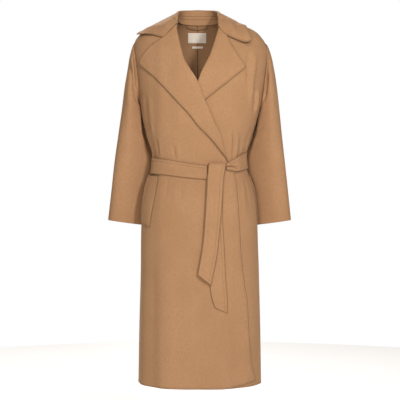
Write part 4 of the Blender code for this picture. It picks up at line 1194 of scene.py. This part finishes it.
TAIL_FRONT_WAVES = (
    (0.0090, 0.0022, ((0.040, -0.520), (0.038, -0.600), (0.034, -0.690), (0.026, -0.780))),
    (0.0080, -0.0018, ((0.058, -0.500), (0.055, -0.580), (0.052, -0.660))),
    (0.0080, 0.0012, ((0.030, -0.700), (0.022, -0.770), (0.014, -0.830))),
)
TAIL_BACK_WAVES = (
    (0.0090, 0.0014, ((0.062, -0.600), (0.066, -0.700), (0.072, -0.800), (0.076, -0.900))),
    (0.0080, -0.0010, ((0.048, -0.860), (0.054, -0.900), (0.062, -0.940))),
)


def belt_lift(degrees):
    (right_start, right_end), (left_start, left_end) = BELT_WRAP_ANGLES
    over_wrap = np.maximum(ramp(degrees, right_start, right_end), 1 - ramp(degrees, left_start, left_end))
    return BELT_LIFT + LAYER * over_wrap


def belt_band(name):
    start, end = BELT_COURSE[0, 0], BELT_COURSE[-1, 0]
    degrees = start + (end - start) * np.linspace(0.0, 1.0, BELT_COLUMNS + 1)
    middle, width = (table_value(BELT_COURSE, degrees, column) for column in (1, 2))
    across = np.linspace(-0.5, 0.5, BELT_ROWS + 1)[:, None]
    z = middle + across * width
    crown = BELT_CROWN * (1 - (2 * across) ** 2)
    base = form_point(z, np.radians(np.broadcast_to(degrees, z.shape)))
    height, round_turns, across_turns = BELT_WAVE
    wave = height * np.sin(np.radians(degrees) * round_turns) * np.sin(across * across_turns)
    relief = np.where(base[..., 1] < 0, front_relief(BELT_FOLDS, base[..., 0], z), 0.0)
    points = lifted(base, belt_lift(degrees)[None] - BELT_CLOTH["thickness"] / 2 + crown + relief + wave)
    return grid_piece(name, points, (FIRST_ROW, LAST_ROW), outward,
                      lined=on_edges(points, LAST_ROW).ravel(), **BELT_CLOTH)


def belt_knot(name):
    """The loop of belt round the band, under the hanging end: a flattened tube of cloth."""
    middle_z, half_height = (KNOT_TOP + KNOT_BOTTOM) / 2, (KNOT_TOP - KNOT_BOTTOM) / 2
    middle_depth, half_depth = (KNOT_FRONT + KNOT_BACK) / 2, (KNOT_FRONT - KNOT_BACK) / 2
    turns = full_turn(KNOT_COLUMNS)
    high, deep = (signed_power(part, KNOT_CORNER_POWER) for part in (np.cos(turns), np.sin(turns)))
    share = np.linspace(0.0, 1.0, KNOT_ROWS)[:, None]
    x = KNOT_LEFT_X + (KNOT_RIGHT_X - KNOT_LEFT_X) * share
    z = middle_z + high[None] * (half_height - WALL / 2) * (1 - KNOT_TAPER * share)
    depth = middle_depth + deep[None] * (half_depth - WALL / 2)
    base = front_form(x + (z - KNOT_TOP) * KNOT_SLANT, z)
    points = lifted(base, np.broadcast_to(depth, z.shape))
    hub = np.repeat(points.mean(1), KNOT_COLUMNS, axis=0)
    return grid_piece(name, points, (FIRST_ROW, LAST_ROW), lambda p: p - hub, round_way=True, line=None)


def turned_over_belt(flat, lift):
    """A hanging end's rows seen from the front and their lift, with those of its turn put before them."""
    first = flat[0]
    turns = np.pi * np.arange(TAIL_TURN_STEPS, 0, -1) / TAIL_TURN_STEPS
    turn = np.repeat(first[None], TAIL_TURN_STEPS, axis=0)
    turn[..., 1] = KNOT_TOP - TAIL_TURN_RADIUS + TAIL_TURN_RADIUS * np.sin(turns)[:, None]
    turn[..., 0] += KNOT_SLANT * (turn[..., 1] - first[:, 1])
    turn_lift = lift[0] - TAIL_TURN_RADIUS * (1 - np.cos(turns))[:, None]
    return np.concatenate([turn, flat]), np.concatenate([turn_lift, lift])


def belt_end(name, table, over_the_belt, waves):
    """A hanging end of the belt. The front one first turns over the belt's top edge."""
    rows = smooth_through(table, TAIL_ROW_STEPS)
    across = np.linspace(0.0, 1.0, TAIL_COLUMNS + 1)
    left, right = rows[:, None, 0:2], rows[:, None, 2:4]
    flat = left + (right - left) * across[:, None]
    lift = np.broadcast_to(rows[:, None, 4], flat.shape[:2])
    if over_the_belt:
        flat, lift = turned_over_belt(flat, lift)
    relief = TAIL_CROWN * np.sin(np.pi * across) + front_relief(waves, flat[..., 0], flat[..., 1])
    points = lifted(front_form(flat[..., 0], flat[..., 1]), lift - WALL / 2 + relief)
    hanging = np.broadcast_to(np.arange(len(flat))[:, None] >= len(flat) - len(rows), flat.shape[:2])
    return grid_piece(name, points, (FIRST_COLUMN, LAST_COLUMN, LAST_ROW), facing_out(hanging),
                      lined=on_edges(points, LAST_COLUMN).ravel(), **BELT_CLOTH)


# ======== pockets, loop and labels
def pocket_welt(name, side, table, thickness, lift, seam_drop):
    rows = smooth_through(table, WELT_ROW_STEPS)
    share = edge_spaced(WELT_COLUMNS)[None]
    start = angle_at_x(rows[:, 1], rows[:, 0])
    end = angle_at_y(rows[:, 3], rows[:, 2], side)
    z = rows[:, 1:2] + (rows[:, 3:4] - rows[:, 1:2]) * share
    base = form_point(z, start[:, None] + (end - start)[:, None] * share)
    if side < 0:
        lift = lift + wrap_lift(base[..., 0], z)
    seam_drop = seam_drop * (1 - ramp(share, 0.0, WELT_SEAM_SHARE))
    points = lifted(base, lift - seam_drop - thickness / 2 + body_relief(base))
    return grid_piece(name, points, (LAST_ROW, LAST_COLUMN), outward, thickness=thickness)


def inside_back(x, z, depth):
    """Points of a trimming that lies inside the back, at a depth from where trimmings start."""
    x, z, depth = np.broadcast_arrays(x, z, depth)
    return lifted(form_point(z, angle_at_x(z, x, behind=True)), -(WALL + TRIM_GAP + depth))


def hanger_loop(name):
    share = np.linspace(0.0, 1.0, LOOP_COLUMNS + 1)[None]
    across = np.linspace(-0.5, 0.5, LOOP_ROWS + 1)[:, None]
    x = HANGER_LOOP_X[0] + (HANGER_LOOP_X[1] - HANGER_LOOP_X[0]) * share
    z = HANGER_LOOP_Z - HANGER_LOOP_SAG * arch(share) + across * HANGER_LOOP_WIDTH
    depth = LOOP_WALL / 2 + LOOP_STANDS_OFF * arch(share) + TRIM_SLACK * (1 - (2 * across) ** 2)
    return grid_piece(name, inside_back(x, z, depth), (), inward, thickness=LOOP_WALL, line=None)


def label(name, left_x, right_x, bottom_z, top_z):
    share = np.linspace(0.0, 1.0, LABEL_COLUMNS + 1)[None]
    height = np.linspace(0.0, 1.0, LABEL_ROWS + 1)[:, None]
    slack = TRIM_SLACK * np.sin(np.pi * share) * np.sin(np.pi * height)
    points = inside_back(left_x + (right_x - left_x) * share, bottom_z + (top_z - bottom_z) * height,
                         TRIM_WALL / 2 + slack)
    return grid_piece(name, points, (FIRST_ROW, LAST_ROW, FIRST_COLUMN, LAST_COLUMN), inward,
                      thickness=TRIM_WALL, line=LABEL_LINE, puff=0.0)


# ======== materials
CAMEL = (0.328, 0.176, 0.085)
CAMEL_DARK = (0.264, 0.138, 0.065)
CAMEL_LIGHT = (0.396, 0.219, 0.112)
CREAM = (0.800, 0.710, 0.600)


def scaled(colour, factor):
    return tuple(factor * part for part in colour)


def set_inputs(node, values):
    for name, value in values.items():
        node.inputs[name].default_value = value


class Nodes:
    """Short ways to add and join the nodes of one material."""

    def __init__(self, name):
        self.material = bpy.data.materials.new(name)
        self.material.use_nodes = True
        self.tree = self.material.node_tree
        self.shader = self.tree.nodes["Principled BSDF"]
        self.place = self.add("ShaderNodeTexCoord").outputs["Object"]

    def add(self, kind, inputs=(), **settings):
        """Adds a node. Its inputs are numbers, colours or the outputs of other nodes."""
        node = self.tree.nodes.new(kind)
        for key, value in settings.items():
            setattr(node, key, value)
        for name, value in dict(inputs).items():
            self.give(node, name, value)
        return node

    def give(self, node, name, value):
        if isinstance(value, bpy.types.NodeSocket):
            self.tree.links.new(value, node.inputs[name])
        else:
            node.inputs[name].default_value = value

    def stretched(self, scale):
        return self.add("ShaderNodeMapping", {"Scale": scale, "Vector": self.place}).outputs["Vector"]

    def noise(self, scale, detail, vector=None, roughness=0.55):
        return self.add("ShaderNodeTexNoise", {
            "Scale": scale, "Detail": detail, "Roughness": roughness,
            "Vector": vector or self.place}).outputs["Fac"]

    def math(self, operation, a, b=0.0):
        return self.add("ShaderNodeMath", {0: a, 1: b}, operation=operation).outputs["Value"]

    def times(self, a, b):
        return self.math("MULTIPLY", a, b)

    def mapped(self, value, from_low, from_high, to_low, to_high):
        return self.add("ShaderNodeMapRange", {
            "From Min": from_low, "From Max": from_high, "To Min": to_low, "To Max": to_high,
            "Value": value}, interpolation_type="SMOOTHSTEP").outputs["Result"]

    def mix(self, factor, a, b):
        a, b = ((*colour, 1.0) if isinstance(colour, tuple) else colour for colour in (a, b))
        return self.add("ShaderNodeMix", {"Factor": factor, "A": a, "B": b},
                        data_type="RGBA").outputs["Result"]

    def attribute(self, name):
        return self.add("ShaderNodeAttribute", attribute_name=name).outputs["Fac"]

    def line(self, attribute, half_width):
        """1 on a seam line and 0 away from it, from the piece's signed distance to that line."""
        away = self.math("ABSOLUTE", self.attribute(attribute))
        return self.mapped(away, half_width * 0.3, half_width, 1.0, 0.0)

    def finished(self, colour, roughness, height, strength, distance, **looks):
        """The material with its colour, roughness, surface height in relief and other looks."""
        bump = self.add("ShaderNodeBump", {"Strength": strength, "Distance": distance, "Height": height})
        inputs = {"Base Color": colour, "Roughness": roughness, "Normal": bump.outputs["Normal"]}
        for name, value in (inputs | looks).items():
            self.give(self.shader, name, value)
        return self.material


def wool_material():
    """Double-faced wool: a mottled yarn colour, a short brushed nap, sunk seam lines and painted shade
    along its finished edges.
    """
    m = Nodes("camel_wool")
    cloudy = m.noise(7.0, 2.0)
    mottled = m.noise(210.0, 4.0, m.stretched((1.0, 1.0, 0.70)))
    fibres = m.noise(950.0, 4.0, m.stretched((1.0, 1.0, 0.50)), 0.65)
    half_light = tuple(0.5 * (a + b) for a, b in zip(CAMEL, CAMEL_LIGHT))
    colour = m.mix(m.mapped(cloudy, 0.35, 0.65, 0.0, 1.0), CAMEL, half_light)
    colour = m.mix(m.times(m.mapped(mottled, 0.30, 0.75, 0.0, 1.0), 0.55), colour, CAMEL_DARK)
    colour = m.mix(m.times(m.mapped(fibres, 0.35, 0.75, 0.0, 1.0), 0.55), colour, CAMEL_LIGHT)
    edge = m.times(m.line("edge_line", 0.0012), 0.40)
    # Painted shade: within about 2 mm of every finished edge the colour is darkened, standing in for the
    # contact shadow along the cloth's edge.
    rim = m.mapped(m.attribute("edge_gap"), 0.0004, 0.0018, 0.70, 0.0)
    lines = m.math("MAXIMUM", m.math("MAXIMUM", edge, rim), m.line("seam_line", 0.0010))
    # Seam lines and the painted edge shade darken the colour together.
    colour = m.mix(m.times(lines, 0.75), colour, scaled(CAMEL_DARK, 0.45))
    nap = m.math("ADD", m.times(fibres, 0.6), m.times(mottled, 0.5))
    height = m.math("SUBTRACT", nap, m.times(lines, 2.2))
    return m.finished(colour, m.mapped(fibres, 0.2, 0.8, 0.80, 0.95), height, 0.55, 0.0007, **{
        "Specular IOR Level": 0.22, "Sheen Weight": 0.14, "Sheen Roughness": 0.45,
        "Sheen Tint": (1.0, 0.74, 0.48, 1.0)})


def label_material():
    """Woven satin: a fine weft rib, a soft gloss and a folded edge."""
    m = Nodes("label_satin")
    ribs = m.noise(1500.0, 2.0, m.stretched((0.2, 0.2, 1.6)))
    clouds = m.noise(60.0, 2.0)
    colour = m.mix(m.times(ribs, 0.35), CREAM, scaled(CREAM, 0.86))
    colour = m.mix(m.times(clouds, 0.12), colour, scaled(CREAM, 0.92))
    edge = m.line("edge_line", 0.0006)
    colour = m.mix(m.times(edge, 0.35), colour, scaled(CREAM, 0.55))
    return m.finished(colour, m.mapped(ribs, 0.2, 0.8, 0.42, 0.58), m.math("SUBTRACT", ribs, edge),
                      0.4, 0.0003, **{"Specular IOR Level": 0.45})


# ======== the whole coat
WOOL = wool_material()
SATIN = label_material()


def roll_bulge(z):
    return np.full(np.shape(z), ROLL_BULGE)


def left_roll_bulge(z):
    return ROLL_BULGE * ramp(z, *LEFT_BULGE_FADE_Z)


def dressed(piece, material, slot, *nodes):
    """Gives a piece its cloth and its body, and hides the parts of the frame that it stands for."""
    piece.data.materials.append(material)
    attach(piece, "root")
    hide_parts(*nodes)
    return piece


def build_coat():
    made = {}

    def add(piece, *nodes, material=WOOL, slot="wool"):
        made[piece.name] = dressed(piece, material, slot, *nodes)

    add(back_panel("cloth_back_right", -1), "back_right")
    add(back_panel("cloth_back_left", 1), "back_left")
    add(front_with_lapel("cloth_front_right", -1, FRONT_RIGHT_EDGE, LAPEL_RIGHT_ENDS_Z, LAPEL_RIGHT_TOP,
                         LAPEL_RIGHT_EDGE, wrap_lift, roll_bulge), "front_right", "lapel_right")
    add(front_with_lapel("cloth_front_left", 1, FRONT_LEFT_EDGE, LAPEL_LEFT_ENDS_Z, LAPEL_LEFT_TOP,
                         LAPEL_LEFT_EDGE, no_lift, left_roll_bulge), "front_left", "lapel_left")
    add(sleeve("cloth_sleeve_right", -1, SLEEVE_RIGHT_FOLDS), "sleeve_right")
    add(sleeve("cloth_sleeve_left", 1, SLEEVE_LEFT_FOLDS), "sleeve_left")
    add(collar("cloth_collar"), "collar_stand", "collar_fall")
    add(belt_band("cloth_belt"), "belt_band")
    add(belt_knot("cloth_belt_knot"), "belt_knot")
    add(belt_end("cloth_belt_end_front", TAIL_FRONT, True, TAIL_FRONT_WAVES), "belt_tail_front")
    add(belt_end("cloth_belt_end_back", TAIL_BACK, False, TAIL_BACK_WAVES), "belt_tail_back")
    add(pocket_welt("cloth_welt_right", -1, WELT_RIGHT, WALL, WELT_RIGHT_LIFT, WELT_RIGHT_DROP),
        "pocket_welt_right")
    add(pocket_welt("cloth_welt_left", 1, WELT_LEFT, TRIM_WALL, WELT_LEFT_LIFT, 0.0), "pocket_welt_left")
    add(hanger_loop("cloth_hanger_loop"), "hanger_loop")
    for node, left_x, right_x, bottom_z, top_z in LABELS:
        add(label("cloth_" + node, left_x, right_x, bottom_z, top_z), node,
            material=SATIN, slot="label_cloth")
    return made


COAT = build_coat()


# ======== floor, light and camera
ROOM_LIGHT = 0.20
ROOM_COLOUR = (1.00, 0.91, 0.78)
# Columns: name, place, what it points at, size, power, colour
LIGHTS = (
    ("key", (1.30, -3.35, 0.75), (0.0, 0.0, -0.45), 0.45, 83.0, (1.00, 1.00, 1.01)),
    ("fill", (-0.7, -3.7, -0.1), (0.0, 0.0, -0.5), 0.8, 43.0, (1.00, 0.97, 0.92)),
    ("top", (0.05, -1.5, 1.0), (0.0, 0.0, -0.10), 0.5, 9.0, (1.00, 0.98, 0.95)),
    ("back", (-0.8, 2.7, 2.3), (0.0, 0.0, -0.6), 1.2, 110.0, (1.00, 0.98, 0.96)),
)
FLOOR_Z = -1.52
FLOOR_RADIUS = 3.2
FLOOR_CORNERS = 96
FLOOR_GLOW = 0.30           # keeps the floor as white as the room


def staged_floor():
    material = bpy.data.materials.new("floor_white")
    material.use_nodes = True
    set_inputs(material.node_tree.nodes["Principled BSDF"], {
        "Base Color": (0.92, 0.92, 0.92, 1.0), "Roughness": 1.0, "Specular IOR Level": 0.0,
        "Emission Color": (1.0, 1.0, 1.0, 1.0), "Emission Strength": FLOOR_GLOW})
    rim = [(FLOOR_RADIUS * math.cos(turn), FLOOR_RADIUS * math.sin(turn), FLOOR_Z)
           for turn in full_turn(FLOOR_CORNERS)]
    mesh = bpy.data.meshes.new("floor")
    mesh.from_pydata(rim, [], [tuple(range(FLOOR_CORNERS))])
    mesh.materials.append(material)
    placed("floor", mesh)


def area_light(name, place, target, size, energy, colour):
    data = bpy.data.lights.new(name, "AREA")
    data.shape, data.size, data.energy, data.color = "DISK", size, energy, colour
    light = placed(name, data)
    light.location = place
    light.rotation_mode = "QUATERNION"
    light.rotation_quaternion = (Vector(target) - Vector(place)).to_track_quat("-Z", "Y")


def studio():
    """A white room: what the camera sees of it is white, and it lights the coat softly."""
    bpy.context.scene.view_settings.view_transform = "Standard"
    world = bpy.data.worlds.new("studio")
    bpy.context.scene.world = world
    world.use_nodes = True
    nodes, links = world.node_tree.nodes, world.node_tree.links
    soft = nodes["Background"]
    set_inputs(soft, {"Color": (*ROOM_COLOUR, 1.0), "Strength": ROOM_LIGHT})
    white = nodes.new("ShaderNodeBackground")
    set_inputs(white, {"Color": (1.0, 1.0, 1.0, 1.0), "Strength": 1.0})
    seen = nodes.new("ShaderNodeLightPath")
    both = nodes.new("ShaderNodeMixShader")
    links.new(seen.outputs["Is Camera Ray"], both.inputs[0])
    links.new(soft.outputs["Background"], both.inputs[1])
    links.new(white.outputs["Background"], both.inputs[2])
    links.new(both.outputs["Shader"], nodes["World Output"].inputs["Surface"])
    for light in LIGHTS:
        area_light(*light)


def camera():
    data = bpy.data.cameras.new("camera")
    data.sensor_width, data.lens = 36.0, CAMERA_LENS
    seer = placed("camera", data)
    seer.location = CAMERA_PLACE
    seer.rotation_euler = (math.radians(90.0), 0.0, 0.0)
    bpy.context.scene.camera = seer


staged_floor()
studio()
camera()
